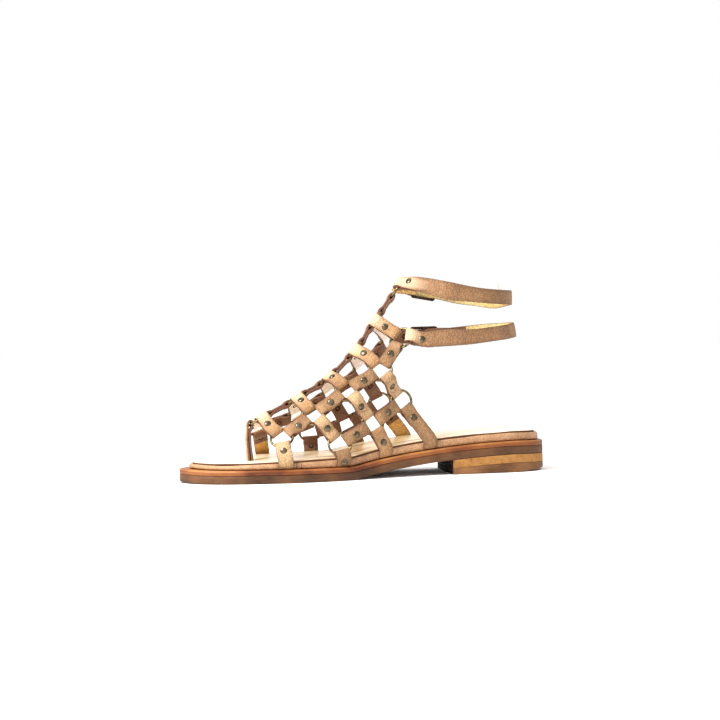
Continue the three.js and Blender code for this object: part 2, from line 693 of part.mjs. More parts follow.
// The long strap: from the medial ring round the heel, under the far bar, over the pivot and on to its tip
function longStrapSolid(name) {
  const medial = hangOf(strapEnds[name][0], `${name}_strap_medial`);
  const { at, up } = buckleFrame(name);
  const points = strapPoints[name];
  const first = points[0].clone().sub(medial.wire).normalize();
  const curve = new THREE.CatmullRomCurve3([
    medial.wire.clone().addScaledVector(first, loopLength),
    ...points.slice(0, -1),
    at(farBarAt + strapRunIn),
  ], false, 'centripetal');
  const loop = loopSteps(medial, first, strapWidth / 2).slice(0, 3);
  const steps = [...loop];
  for (let i = 0; i <= strapSteps; i += 1) {
    const share = i / strapSteps;
    const point = curve.getPointAt(share);
    const tangent = curve.getTangentAt(share);
    const level = vector(0, 0, 1).addScaledVector(vector(-tangent.y, tangent.x, 0), strapLean[name]);
    const turn = Math.min(share * 8, 1);
    const start = medial.tangent.clone().multiplyScalar(Math.sign(medial.tangent.z));
    const across = start.lerp(level.normalize(), turn).normalize();
    const doubled = share < 0.09;
    steps.push(evenStep(point, across, strapWidth / 2, doubled ? leatherThickness : longHalf));
  }
  if (medial.tangent.z < 0) steps.splice(0, loop.length, ...loop.map(flipStep));
  const overFold = foldHalf + clearance + longHalf;
  for (const [distance, offset] of [
    [farBarAt + 4, -(buckleWire + clearance + longHalf) * 0.8],
    [farBarAt, -(buckleWire + clearance + longHalf)],
    [farBarAt - underBarLength, -longHalf],
    [pivotAt + overPivotLength, overFold * 0.75],
    [pivotAt + 2.6, overFold + 0.2],
    [pivotAt - 1.5, overFold + 0.2],
    [tipDistance, overFold + 0.8],
  ]) {
    steps.push(evenStep(at(distance, offset), up, strapWidth / 2, longHalf));
  }
  const tip = steps[steps.length - 1];
  tip.left = strapWidth / 3;
  tip.right = strapWidth / 3;
  const solid = bandSolid(pathSections(steps)).subtract(eyeSolid(medial, strapWidth / 2));
  return solid.subtract(prongSolid(name, clearance));
}

// Sole pieces
const flat = (value) => () => value;
const straight = (height, inset = 0) => ({ inset: flat(inset), height });
const beadShape = [
  { inset: 1.4, rise: 0.00 },
  { inset: 0.0, rise: 0.34 },
  { inset: 0.2, rise: 0.72 },
  { inset: 1.8, rise: 1.00 },
];
function outsoleGeometry() {
  return soleLayer([straight(outsoleBottom), straight(outsoleTop)]);
}
function midsoleGeometry() {
  const shoulder = (x) => midsoleTop(x) - midsoleBevel;
  return soleLayer([straight(midsoleBottom), straight(shoulder), straight(midsoleTop, midsoleBevel)]);
}
function footbedSolid() {
  const levels = beadShape.map(({ inset, rise }) => ({
    inset: (x) => rimInset(x) + inset,
    height: (x) => footbedBottom(x) + rise * (footbedTop(x) - footbedBottom(x)),
  }));
  let solid = toSolid(soleLayer(levels));
  for (const row of legRows) solid = solid.subtract(slotSolid(row));
  return solid.subtract(thongSlot());
}
function coverSolid() {
  const inset = (x) => rimInset(x) + coverSetIn;
  const solid = toSolid(soleLayer([{ inset, height: coverBottom }, { inset, height: coverTop }]));
  return solid.subtract(thongSlot());
}
const breastShares = [shareAt(-1, stationX(breastMedial)), shareAt(1, stationX(breastLateral))];
const liftTop = (x) => outsoleBottom(x) - layerGap;
const liftBottom = (x) => liftTop(x) - heelLiftThickness;
const topLiftTop = (x) => liftBottom(x) - layerGap;
const topLiftBottom = (x) => {
  const back = Math.max(0, (x - stationX(rollStart)) / (stationX(1) - stationX(rollStart)));
  return heelRollHeight * back * back;
};
const heelLiftGeometry = () => soleLayer([straight(liftBottom), straight(liftTop)], ...breastShares);
const topLiftGeometry = () => soleLayer([straight(topLiftBottom), straight(topLiftTop)], ...breastShares);

// The assembly
const sandal = new THREE.Group();
function addPiece(name, shape, material) {
  const geometry = shape instanceof THREE.BufferGeometry ? shape : toGeometry(shape);
  const mesh = new THREE.Mesh(geometry, material);
  mesh.name = name;
  sandal.add(mesh);
}
addPiece('outsole', outsoleGeometry(), brownSole);
addPiece('midsole', midsoleGeometry(), tanMidsole);
addPiece('footbed', footbedSolid(), tanLeather);
addPiece('insole_cover', coverSolid(), goldCover);
addPiece('heel_lift', heelLiftGeometry(), corkLift);
addPiece('heel_top_lift', topLiftGeometry(), darkLift);
for (const i of [0, 1, 2, 3, 4, 5]) addPiece(`spine_ring_${i}`, ringSolid(`C${i}`), antiqueBrass);
for (const link of links) addPiece(link.name, linkSolid(link), tanLeather);
for (const row of legRows) addPiece(row.name, legSolid(row), tanLeather);
addPiece('toe_thong', thongSolid(), tanLeather);
for (const name of ['upper', 'lower']) {
  addPiece(`ankle_strap_${name}`, longStrapSolid(name), tanLeather);
  addPiece(`buckle_strap_${name}`, buckleStrapSolid(name), tanLeather);
  addPiece(`buckle_${name}`, buckleSolid(name), antiqueBrass);
}

// The origin is on the floor under the middle of the whole sandal
const box = new THREE.Box3().setFromObject(sandal);
for (const mesh of sandal.children) {
  mesh.position.set(-(box.min.x + box.max.x) / 2, -(box.min.y + box.max.y) / 2, -box.min.z);
}

export default sandal;
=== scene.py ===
# A tan gladiator sandal for the right foot: riveted leather links on small brass rings, a toe thong and two
# buckled ankle straps on a layered leather sole. Lengths are in millimetres, turned to metres at the mesh.
import math
import random

import bpy
from mathutils import Matrix, Vector


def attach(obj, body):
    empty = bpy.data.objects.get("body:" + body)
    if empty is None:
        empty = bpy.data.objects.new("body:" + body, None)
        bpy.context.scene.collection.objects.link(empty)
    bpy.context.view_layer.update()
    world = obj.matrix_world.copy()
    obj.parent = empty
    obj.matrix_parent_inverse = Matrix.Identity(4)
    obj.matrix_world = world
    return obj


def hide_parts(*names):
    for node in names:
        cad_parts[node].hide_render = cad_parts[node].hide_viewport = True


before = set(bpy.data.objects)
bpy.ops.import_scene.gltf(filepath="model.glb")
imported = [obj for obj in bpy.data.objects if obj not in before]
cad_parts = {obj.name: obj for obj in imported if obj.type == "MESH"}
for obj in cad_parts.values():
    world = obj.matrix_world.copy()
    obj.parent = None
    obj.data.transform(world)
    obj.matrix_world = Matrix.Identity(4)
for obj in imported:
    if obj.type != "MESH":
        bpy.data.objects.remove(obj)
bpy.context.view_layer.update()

# Sizes of the sole
soleLength = 257.0
ballWidth = 88.0
heelWidth = 60.0
heelHeight = 10.0
toeSpring = 0.6
heelRollHeight = 1.8
outsoleThickness = 5.4
midsoleThickness = 3.3
footbedThickness = 5.2
toeThinning = 2.4
coverThickness = 1.2
heelLiftThickness = 5.6
layerGap = 0.3
rimSetIn = 3.2
toeSetIn = 6.5
coverSetIn = 2.6

# Sizes of the net, the straps and the buckles
netHeight = 127.5
ringRadius = 7.7
wireRadius = 0.85
leather = 1.15
linkWidth = 9.2
legWidth = 10.2
thongWidth = 7.6
loopLength = 4.6
clearance = 0.3
footGap = 0.45
tuckLength = 7.0
tuckRise = 1.4
strapWidth = 10.0
strapThickness = 1.7
buckleWire = 1.0
prongRadius = 0.7
tipDistance = 6.5
rivetRadius = 2.35
rivetRise = 0.95
foldReach = 2.9
foldBend = 0.25
# The spine lies turned a little, its medial edge towards the toe
spineAcross = Vector((0.26, 0.96, -0.04))

# Plan of the sole: along from the toe tip, medial and lateral halves as shares of half the named width
planRows = [
    (0.000, 0.000, 0.000, ballWidth), (0.008, 0.205, 0.205, ballWidth), (0.030, 0.430, 0.410, ballWidth),
    (0.070, 0.640, 0.600, ballWidth), (0.130, 0.810, 0.760, ballWidth), (0.200, 0.920, 0.875, ballWidth),
    (0.280, 0.990, 0.960, ballWidth), (0.350, 0.990, 1.010, ballWidth), (0.420, 0.930, 1.020, ballWidth),
    (0.510, 0.790, 0.960, ballWidth), (0.600, 0.690, 0.865, ballWidth), (0.700, 0.945, 1.120, heelWidth),
    (0.800, 0.980, 1.060, heelWidth), (0.880, 1.000, 1.020, heelWidth), (0.950, 0.840, 0.860, heelWidth),
    (0.985, 0.510, 0.520, heelWidth), (1.000, 0.000, 0.000, heelWidth),
]
# Underside of the outsole: along, share of the toe spring, share of the heel height
bottomRows = [
    (0.000, 1.00, 0.00), (0.035, 0.45, 0.00), (0.080, 0.10, 0.00), (0.120, 0.00, 0.00), (0.430, 0.00, 0.00),
    (0.455, 0.00, 0.09), (0.480, 0.00, 0.21), (0.510, 0.00, 0.36), (0.570, 0.00, 0.58), (0.630, 0.00, 0.77),
    (0.700, 0.00, 0.96), (0.780, 0.00, 1.13), (0.840, 0.00, 1.22), (0.890, 0.00, 1.26), (0.950, 0.00, 1.23),
    (1.000, 0.00, 1.18),
]
# Footbed towards the toe: along, share of the thinning
thinningRows = [(0.0, 1.0), (0.1, 0.92), (0.18, 0.72), (0.28, 0.45), (0.4, 0.18), (0.52, 0.0), (1.0, 0.0)]
breast = {-1: 0.718, 1: 0.742}
rollStart = 0.84

# Ring centres: along the sole, across in shares of half the ball's width, up in shares of the net's height
ringRows = {
    "C0": (0.209, -0.184, 0.322), "C1": (0.310, -0.110, 0.423), "C2": (0.400, -0.057, 0.528),
    "C3": (0.479, -0.060, 0.678), "C4": (0.541, 0.020, 0.836), "C5": (0.604, 0.080, 1.000),
    "M0": (0.251, -0.716, 0.235), "M1": (0.339, -0.661, 0.347), "M2": (0.431, -0.641, 0.469),
    "M3": (0.525, -0.586, 0.572), "M4": (0.591, -0.459, 0.740), "N1": (0.400, -0.836, 0.192),
    "N2": (0.495, -0.718, 0.291), "N3": (0.583, -0.535, 0.402), "L0": (0.232, 0.411, 0.265),
    "L1": (0.333, 0.457, 0.331), "L2": (0.431, 0.491, 0.438), "L3": (0.518, 0.416, 0.565),
    "L4": (0.595, 0.480, 0.727), "K1": (0.388, 0.880, 0.222), "K2": (0.483, 0.732, 0.264),
    "K3": (0.572, 0.577, 0.378),
}
# Legs: the ring, the foot's place along the sole, and how far below the wire the rivet sits
legRows = {
    "leg_medial_1": ("M0", 0.252, 3.3), "leg_medial_2": ("N1", 0.409, 4.6),
    "leg_medial_3": ("N2", 0.531, 6.6), "leg_medial_4": ("N3", 0.658, 6.2),
    "leg_lateral_1": ("L0", 0.253, 4.2), "leg_lateral_2": ("K1", 0.393, 4.4),
    "leg_lateral_3": ("K2", 0.523, 5.0), "leg_lateral_4": ("K3", 0.651, 6.0),
}
thongFoot = (0.179, -0.300)
# Ankle straps: centre lines from the medial ring round the heel to the lateral ring, in the shares above
strapRows = {
    "upper": [
        (0.661, -0.410, 1.020), (0.695, -0.560, 1.002), (0.746, -0.640, 0.979), (0.803, -0.630, 0.960),
        (0.868, -0.450, 0.949), (0.922, 0.000, 0.945), (0.882, 0.440, 0.944), (0.815, 0.610, 0.953),
        (0.760, 0.590, 0.976),
    ],
    "lower": [
        (0.645, -0.560, 0.728), (0.715, -0.660, 0.731), (0.768, -0.700, 0.737), (0.828, -0.640, 0.749),
        (0.885, -0.440, 0.759), (0.929, 0.000, 0.769), (0.886, 0.460, 0.761), (0.830, 0.680, 0.750),
        (0.765, 0.680, 0.743),
    ],
}
# Ankle straps: lean of the width, rivet's place and slide, fold's reach, how soon the width turns level
strapLean = {"upper": 0.0, "lower": 0.16}
frontLean = {"upper": 0.9, "lower": 0.0}
strapRivet = {"upper": 7.2, "lower": 7.0}
rivetSlide = {"upper": 1.7, "lower": 0.0}
strapFold = {"upper": 2.9, "lower": 4.0}
strapTurn = {"upper": 4.6, "lower": 7.0}
strapLayer = 1.5
foldedTail = 14.5
tipLength = 7.0
strapSteps = 110
# Length at the strap's end that has no lining
plainEnd = {"upper": 0.0, "lower": 50.0}
# Painted highlight at the fronts of the rungs and ankle straps, where the light falls brightest: how strongly,
# and the length over which it fades
noPaintedHighlight = (0.0, 1.0)
rungPaintedHighlight = (1.1, 12.0)
strapPaintedHighlight = {"upper": (1.15, 25.0), "lower": (1.1, 7.0)}
# Where each long strap swells: middle and half length, then how much at its upper and lower edge
strapSwell = {
    "upper": [(5.0, 12.0, 0.6, -0.8), (37.0, 15.0, 0.6, 1.6), (122.0, 12.0, -0.5, 2.2)],
    "lower": [(24.0, 14.0, 1.6, 0.0), (132.0, 22.0, 0.5, -0.3)],
}
# Loose ends of the lining's thread at the upper edge near the heel: place, lean and length
threadEnds = {
    "upper": [(78, -0.5, 4.2), (80, 0.3, 1.9)],
    "lower": [(68, 0.2, 1.9), (73, -0.3, 1.9), (82, 0.1, 1.9), (84, -0.2, 1.9)],
}
threadRadius = 0.14
# The buckle's frame as it shows: where its pivot and its far bar stand, half its width, its corners
frameBars = {"upper": (12.0, 32.0), "lower": (12.8, 32.4)}
frameHalf = 5.8
frameCorner = 1.3
# The prong's bend round the pivot: distance past it and distance outwards
prongBend = [(1.1, -1.2), (-0.6, -1.9), (-1.9, -0.5), (-1.5, 1.1), (0.0, 1.75), (3.0, 1.9)]
# Lengths at the ends of links and legs that keep to the ring's plane
linkEnds = {"rung_link_medial": (1.2, 5.6), "rung_link_lateral": (2.0, 6.5)}
plainEnds = (2.4, 2.4)
legEnds = (1.6, 0.8)
linkSteps = 18
legSteps = 12
rowTwist = 0.32
# Links of the spine: how deep the rivet sits, their thickness, and where their layers meet
spineLink = (0.55, leather + 0.4, 2.8)
# A strip's cross-section: points across, the rounding of its cut edge, and how far the grain side is crowned
stripColumns = 5
edgeShape = [(0.72, 0.8), (1.0, 0.25), (1.0, -0.25), (0.72, -0.8)]
crown = 0.25
# Rivet head: shares of radius and rise, and painted shade at its rim. Its tubular back: radius and height of a
# rolled washer
headShape = [
    (1.0, -0.35, 1.0), (1.03, 0.10, 1.0), (0.97, 0.30, 0.5), (0.86, 0.55, 0.0), (0.66, 0.80, 0.0),
    (0.4, 0.95, 0.0), (0.16, 1.0, 0.0),
]
backShape = [(1.9, -0.3), (1.95, 0.1), (1.6, 0.38), (1.1, 0.4), (0.85, 0.15), (0.75, -0.2)]
headSides = 20
backSides = 18
# The rim's two seam lines
seamPlaces = (-53.2, -56.4)
seamRadius = 0.17
# Counts of segments
ringSegments = 48
wireSides = 10
fineSides = 6
soleStations = 110

Z = Vector((0, 0, 1))
rng = random.Random(7)


def stationX(along):
    return (along - 0.5) * soleLength


def place(row):
    return Vector((stationX(row[0]), row[1] * ballWidth / 2, row[2] * netHeight))


def columnCurve(pairs):
    """A smooth function through (x, y) pairs with no overshoot between equal values."""
    xs = [stationX(along) for along, _ in pairs]
    ys = [y for _, y in pairs]
    slopes = [(ys[i + 1] - ys[i]) / (xs[i + 1] - xs[i]) for i in range(len(xs) - 1)]
    tangents = [slopes[0]]
    for a, b in zip(slopes, slopes[1:]):
        tangents.append(0.0 if a * b <= 0 else 2 * a * b / (a + b))
    tangents.append(slopes[-1])

    def value(x):
        inside = min(max(x, xs[0]), xs[-1])
        i = 0
        while i < len(xs) - 2 and inside > xs[i + 1]:
            i += 1
        span = xs[i + 1] - xs[i]
        t = (inside - xs[i]) / span
        rise = (3 - 2 * t) * t * t
        ends = tangents[i] * t * (1 - t) ** 2 - tangents[i + 1] * t * t * (1 - t)
        return ys[i] * (1 - rise) + ys[i + 1] * rise + span * ends
    return value


outsoleBottom = columnCurve([(a, s * toeSpring + r * heelHeight) for a, s, r in bottomRows])
rimInset = columnCurve([(0.0, toeSetIn), (0.12, rimSetIn), (1.0, rimSetIn)])
thinned = columnCurve([(a, share * toeThinning) for a, share in thinningRows])


def outsoleTop(x):
    return outsoleBottom(x) + outsoleThickness


def midsoleBottom(x):
    return outsoleTop(x) + layerGap


def midsoleTop(x):
    return midsoleBottom(x) + midsoleThickness


def footbedBottom(x):
    return midsoleTop(x) + layerGap


def footbedTop(x):
    return footbedBottom(x) + footbedThickness - thinned(x)


# The plan outline as one closed smooth curve: medial side from toe to heel, then the lateral side back
outline = [Vector((stationX(a), -m * w / 2)) for a, m, _, w in planRows]
outline += [Vector((stationX(a), l * w / 2)) for a, _, l, w in reversed(planRows[1:-1])]


def curvePoint(points, t, closed):
    """A centripetal spline through the points, t from 0 to 1."""
    count = len(points)
    p = (count if closed else count - 1) * t
    i = int(math.floor(p))
    w = p - i
    if not closed and i >= count - 1:
        i = count - 2
        w = 1.0

    def pick(k):
        if closed:
            return points[k % count]
        if k < 0:
            return points[0] * 2 - points[1]
        if k >= count:
            return points[-1] * 2 - points[-2]
        return points[k]
    a, b, c, d = pick(i - 1), pick(i), pick(i + 1), pick(i + 2)
    ab = (b - a).length ** 0.5
    bc = (c - b).length ** 0.5
    cd = (d - c).length ** 0.5
    into = ((b - a) / ab - (c - a) / (ab + bc) + (c - b) / bc) * bc
    out = ((c - b) / bc - (d - b) / (bc + cd) + (d - c) / cd) * bc
    rise = (3 - 2 * w) * w * w
    return b * (1 - rise) + c * rise + into * (w * (1 - w) ** 2) - out * (w * w * (1 - w))


def planPoint(side, share, inset):
    """A point of the outline: share runs 0 to 1 from toe to heel on one side, inset moves it inwards."""
    t = (share / 2 if side < 0 else 1 - share / 2) % 1
    point = curvePoint(outline, t, True)
    ahead = curvePoint(outline, (t + 1e-4) % 1, True)
    behind = curvePoint(outline, (t - 1e-4) % 1, True)
    tangent = (ahead - behind).normalized()
    return Vector((point.x - tangent.y * inset, point.y + tangent.x * inset, 0))


def shareAt(side, x):
    low, high = 0.0, 1.0
    for _ in range(30):
        middle = (low + high) / 2
        if planPoint(side, middle, 0).x < x:
            low = middle
        else:
            high = middle
    return (low + high) / 2


# The frame is centred on its own box, whose lateral side is the second lateral leg: all moves with it
footShift = Vector((0, -1.365, 0))

# Colours and finishes
# The pale tan that the grain is lightened to near the fronts of rungs and straps: a painted highlight
highlightTan = 0xDDB994


def linear(hexValue):
    """An sRGB hex colour as linear red, green, blue and alpha."""
    parts = [((hexValue >> shift) & 255) / 255 for shift in (16, 8, 0)]
    return [c / 12.92 if c <= 0.04045 else ((c + 0.055) / 1.055) ** 2.4 for c in parts] + [1.0]


def addNode(tree, kind, settings, links=()):
    """A node with its attributes, socket values and colour stops set, and links into its inputs."""
    made = tree.nodes.new(kind)
    for key, value in settings.items():
        if key == "stops":
            elements = made.color_ramp.elements
            while len(elements) < len(value):
                elements.new(0.5)
            for element, (where, colour) in zip(elements, value):
                element.position = where
                element.color = linear(colour)
        elif isinstance(key, int) or key in made.inputs:
            made.inputs[key].default_value = value
        else:
            setattr(made, key, value)
    for key, source in links:
        tree.links.new(source, made.inputs[key])
    return made


def perMetre(millimetres):
    """Texture scale for a pattern that repeats once in this many millimetres."""
    return 1000.0 / millimetres


def finish(name, build):
    """A material whose shader is made by build(tree, place), with place the coordinates in the row frame."""
    material = bpy.data.materials.new(name)
    material.use_nodes = True
    tree = material.node_tree
    tree.nodes.clear()
    where = addNode(tree, "ShaderNodeTexCoord", {})
    shader = build(tree, where.outputs["Object"])
    addNode(tree, "ShaderNodeOutputMaterial", {}, [("Surface", shader.outputs[0])])
    return material


def leatherFinish(light, base, dark, roughness, grain, depth, blotch=14.0):
    """Grained leather: pebbles of the given size in millimetres, cloudy tone, and painted shade that darkens
    it where a point attribute is set, along the edges of a strip.

    Where that attribute is below zero the leather is lightened towards a pale tan, a painted highlight.
    """
    def build(tree, where):
        cloud = addNode(tree, "ShaderNodeTexNoise",
                        {"Scale": perMetre(blotch), "Detail": 4.0, "Roughness": 0.6}, [("Vector", where)])
        colour = addNode(tree, "ShaderNodeValToRGB", {"stops": [(0.3, dark), (0.5, base), (0.72, light)]},
                         [(0, cloud.outputs["Fac"])])
        pebble = addNode(tree, "ShaderNodeTexVoronoi",
                         {"Scale": perMetre(grain), "Randomness": 0.9}, [("Vector", where)])
        fine = addNode(tree, "ShaderNodeTexNoise",
                       {"Scale": perMetre(grain * 0.45), "Detail": 3.0}, [("Vector", where)])
        relief = addNode(tree, "ShaderNodeMath", {"operation": "MULTIPLY_ADD", 1: 0.6},
                         [(0, fine.outputs["Fac"]), (2, pebble.outputs["Distance"])])
        shade = addNode(tree, "ShaderNodeMapRange",
                        {"From Min": 0.36, "From Max": 0.9, "To Min": 1.14, "To Max": 0.7},
                        [("Value", relief.outputs[0])])
        # Painted light from a point attribute: at a strip's edges it darkens the grain as painted shade, below
        # zero it lightens it as a painted highlight
        worn = addNode(tree, "ShaderNodeAttribute", {"attribute_name": "worn"})
        edge = addNode(tree, "ShaderNodeMapRange", {"To Min": 1.0, "To Max": 0.6},
                       [("Value", worn.outputs["Fac"])])
        both = addNode(tree, "ShaderNodeMath", {"operation": "MULTIPLY"},
                       [(0, shade.outputs[0]), (1, edge.outputs[0])])
        toned = addNode(tree, "ShaderNodeVectorMath", {"operation": "SCALE"},
                        [(0, colour.outputs[0]), ("Scale", both.outputs[0])])
        # Painted highlight: the share of the pale tan where the attribute is below zero
        highlightAmount = addNode(tree, "ShaderNodeMath", {"operation": "MULTIPLY", 1: -1.0, "use_clamp": True},
                           [(0, worn.outputs["Fac"])])
        final = addNode(tree, "ShaderNodeMix", {"data_type": "RGBA", 7: linear(highlightTan)},
                        [(0, highlightAmount.outputs[0]), (6, toned.outputs[0])])
        bump = addNode(tree, "ShaderNodeBump", {"Strength": depth, "Distance": 0.0007, "invert": True},
                       [("Height", relief.outputs[0])])
        return addNode(tree, "ShaderNodeBsdfPrincipled", {"Roughness": roughness, "IOR": 1.48},
                       [("Base Color", final.outputs[2]), ("Normal", bump.outputs[0])])
    return build


def foilFinish(light, base, dark, pale):
    """Leather with a thin bright foil: creases along the sole, painted darker in their hollows and lighter on
    their crowns as painted shade and painted highlight, fine grain, and paler towards toe and heel as a
    painted highlight.
    """
    def build(tree, where):
        stretch = addNode(tree, "ShaderNodeMapping", {"Scale": (0.2, 1.0, 1.0)}, [("Vector", where)])
        crease = addNode(tree, "ShaderNodeTexNoise",
                         {"Scale": perMetre(7.0), "Detail": 3.0, "Roughness": 0.55},
                         [("Vector", stretch.outputs[0])])
        # Painted shade and highlight: darker in the crease hollows, lighter on their crowns
        colour = addNode(tree, "ShaderNodeValToRGB", {"stops": [(0.36, dark), (0.46, base), (0.6, light)]},
                         [(0, crease.outputs["Fac"])])
        grain = addNode(tree, "ShaderNodeTexNoise", {"Scale": perMetre(1.2), "Detail": 2.0},
                        [("Vector", where)])
        height = addNode(tree, "ShaderNodeMath", {"operation": "MULTIPLY_ADD", 1: 0.05},
                         [(0, grain.outputs["Fac"]), (2, crease.outputs["Fac"])])
        bump = addNode(tree, "ShaderNodeBump", {"Strength": 0.5, "Distance": 0.0012},
                       [("Height", height.outputs[0])])
        # Painted highlight: paler towards toe and heel
        along = addNode(tree, "ShaderNodeSeparateXYZ", {}, [(0, where)])
        away = addNode(tree, "ShaderNodeMath", {"operation": "ABSOLUTE"}, [(0, along.outputs[0])])
        middle = addNode(tree, "ShaderNodeMapRange", {"From Min": 0.02, "From Max": 0.1},
                         [("Value", away.outputs[0])])
        ends = addNode(tree, "ShaderNodeMix", {"data_type": "RGBA", 7: linear(pale)},
                       [(0, middle.outputs[0]), (6, colour.outputs[0])])
        return addNode(tree, "ShaderNodeBsdfPrincipled",
                       {"Roughness": 0.3, "Metallic": 0.12, "Coat Weight": 0.15, "Coat Roughness": 0.12},
                       [("Base Color", ends.outputs[2]), ("Normal", bump.outputs[0])])
    return build


def suedeFinish(base, dark):
    """Raw flesh side of leather: fibrous, matt, with a little sheen."""
    def build(tree, where):
        nap = addNode(tree, "ShaderNodeTexNoise",
                      {"Scale": perMetre(1.1), "Detail": 5.0, "Roughness": 0.7}, [("Vector", where)])
        colour = addNode(tree, "ShaderNodeValToRGB", {"stops": [(0.3, dark), (0.7, base)]},
                         [(0, nap.outputs["Fac"])])
        bump = addNode(tree, "ShaderNodeBump", {"Strength": 0.5, "Distance": 0.0003},
                       [("Height", nap.outputs["Fac"])])
        return addNode(tree, "ShaderNodeBsdfPrincipled",
                       {"Roughness": 0.92, "IOR": 1.45, "Sheen Weight": 0.15},
                       [("Base Color", colour.outputs[0]), ("Normal", bump.outputs[0])])
    return build


def cutEdgeFinish(light, dark, layer):
    """Cut edge of stacked leather: thin layers and fibres along the edge."""
    def build(tree, where):
        fibre = addNode(tree, "ShaderNodeTexNoise",
                        {"Scale": perMetre(layer), "Detail": 6.0, "Roughness": 0.7}, [("Vector", where)])
        colour = addNode(tree, "ShaderNodeValToRGB", {"stops": [(0.32, dark), (0.68, light)]},
                         [(0, fibre.outputs["Fac"])])
        bump = addNode(tree, "ShaderNodeBump", {"Strength": 0.35, "Distance": 0.0003},
                       [("Height", fibre.outputs["Fac"])])
        return addNode(tree, "ShaderNodeBsdfPrincipled", {"Roughness": 0.75, "IOR": 1.48},
                       [("Base Color", colour.outputs[0]), ("Normal", bump.outputs[0])])
    return build


def metalFinish(light, dark, roughness):
    """Antique plated brass: rubbed bright on the crowns, brown in the hollows."""
    def build(tree, where):
        patina = addNode(tree, "ShaderNodeTexNoise",
                         {"Scale": perMetre(2.2), "Detail": 5.0, "Roughness": 0.65}, [("Vector", where)])
        colour = addNode(tree, "ShaderNodeValToRGB", {"stops": [(0.35, dark), (0.62, light)]},
                         [(0, patina.outputs["Fac"])])
        rough = addNode(tree, "ShaderNodeMapRange", {"To Min": roughness * 0.7, "To Max": roughness * 1.4},
                        [("Value", patina.outputs["Fac"])])
        # Painted shade: where the point attribute is set, a rivet head's rim is darkened
        worn = addNode(tree, "ShaderNodeAttribute", {"attribute_name": "worn"})
        rim = addNode(tree, "ShaderNodeMapRange", {"To Min": 1.0, "To Max": 0.22},
                      [("Value", worn.outputs["Fac"])])
        toned = addNode(tree, "ShaderNodeVectorMath", {"operation": "SCALE"},
                        [(0, colour.outputs[0]), ("Scale", rim.outputs[0])])
        bump = addNode(tree, "ShaderNodeBump", {"Strength": 0.12, "Distance": 0.0002},
                       [("Height", patina.outputs["Fac"])])
        return addNode(tree, "ShaderNodeBsdfPrincipled", {"Metallic": 1.0},
                       [("Base Color", toned.outputs[0]), ("Roughness", rough.outputs[0]),
                        ("Normal", bump.outputs[0])])
    return build


def soleEdgeFinish(light, base, dark, streak, gloss):
    """Waxed edge of a leather sole layer: streaks that run along the sole, burnished patches."""
    def build(tree, where):
        stretch = addNode(tree, "ShaderNodeMapping", {"Scale": (0.18, 0.18, 1.0)}, [("Vector", where)])
        lines = addNode(tree, "ShaderNodeTexNoise",
                        {"Scale": perMetre(streak), "Detail": 5.0, "Roughness": 0.65},
                        [("Vector", stretch.outputs[0])])
        patch = addNode(tree, "ShaderNodeTexNoise", {"Scale": perMetre(26.0), "Detail": 2.0},
                        [("Vector", where)])
        both = addNode(tree, "ShaderNodeMath", {"operation": "MULTIPLY_ADD", 1: 0.45},
                       [(0, lines.outputs["Fac"]), (2, patch.outputs["Fac"])])
        colour = addNode(tree, "ShaderNodeValToRGB", {"stops": [(0.55, dark), (0.72, base), (0.9, light)]},
                         [(0, both.outputs[0])])
        bump = addNode(tree, "ShaderNodeBump", {"Strength": 0.25, "Distance": 0.0004},
                       [("Height", lines.outputs["Fac"])])
        return addNode(tree, "ShaderNodeBsdfPrincipled", {"Roughness": gloss, "IOR": 1.38},
                       [("Base Color", colour.outputs[0]), ("Normal", bump.outputs[0])])
    return build


def corkFinish():
    """Ground cork pressed with binder: honey brown with dark and pale crumbs about a millimetre across."""
    def build(tree, where):
        crumb = addNode(tree, "ShaderNodeTexVoronoi", {"Scale": perMetre(1.3)}, [("Vector", where)])
        cloud = addNode(tree, "ShaderNodeTexNoise", {"Scale": perMetre(4.0), "Detail": 4.0},
                        [("Vector", where)])
        both = addNode(tree, "ShaderNodeMath", {"operation": "MULTIPLY_ADD", 1: 0.35},
                       [(0, crumb.outputs["Distance"]), (2, cloud.outputs["Fac"])])
        colour = addNode(tree, "ShaderNodeValToRGB",
                         {"stops": [(0.36, 0x6C4019), (0.46, 0x956229), (0.8, 0xAA783E)]},
                         [(0, both.outputs[0])])
        bump = addNode(tree, "ShaderNodeBump", {"Strength": 0.3, "Distance": 0.0004},
                       [("Height", crumb.outputs["Distance"])])
        return addNode(tree, "ShaderNodeBsdfPrincipled", {"Roughness": 0.8, "IOR": 1.45},
                       [("Base Color", colour.outputs[0]), ("Normal", bump.outputs[0])])
    return build


def floorFinish(colour):
    """A plain matt floor with a faint haze."""
    def build(tree, where):
        haze = addNode(tree, "ShaderNodeTexNoise", {"Scale": 2.0, "Detail": 2.0}, [("Vector", where)])
        tone = addNode(tree, "ShaderNodeMapRange", {"To Min": 0.93, "To Max": 0.98},
                       [("Value", haze.outputs["Fac"])])
        return addNode(tree, "ShaderNodeBsdfPrincipled", {"Base Color": linear(colour)},
                       [("Roughness", tone.outputs[0])])
    return build


# Straps and links are tan full-grain leather with a fine pebble, drawn a little coarse so that it shows
tanGrain = finish("tan_grain_leather", leatherFinish(0xC69768, 0xB18353, 0x966A42, 0.6, 1.4, 0.8))
# Lit and shaded copies of the tan leather: the drops, thong and first legs get a paler copy, painted
# highlight, and the rows a deeper copy, painted shade
litGrainCopy = finish("lit_copy_grain_leather", leatherFinish(0xDAB185, 0xC49B6B, 0xA67E56, 0.55, 1.4, 0.8))
shadedGrainCopy = finish("shaded_copy_grain_leather", leatherFinish(0xB3875D, 0xA0764B, 0x875F3A, 0.6, 1.4, 0.8))
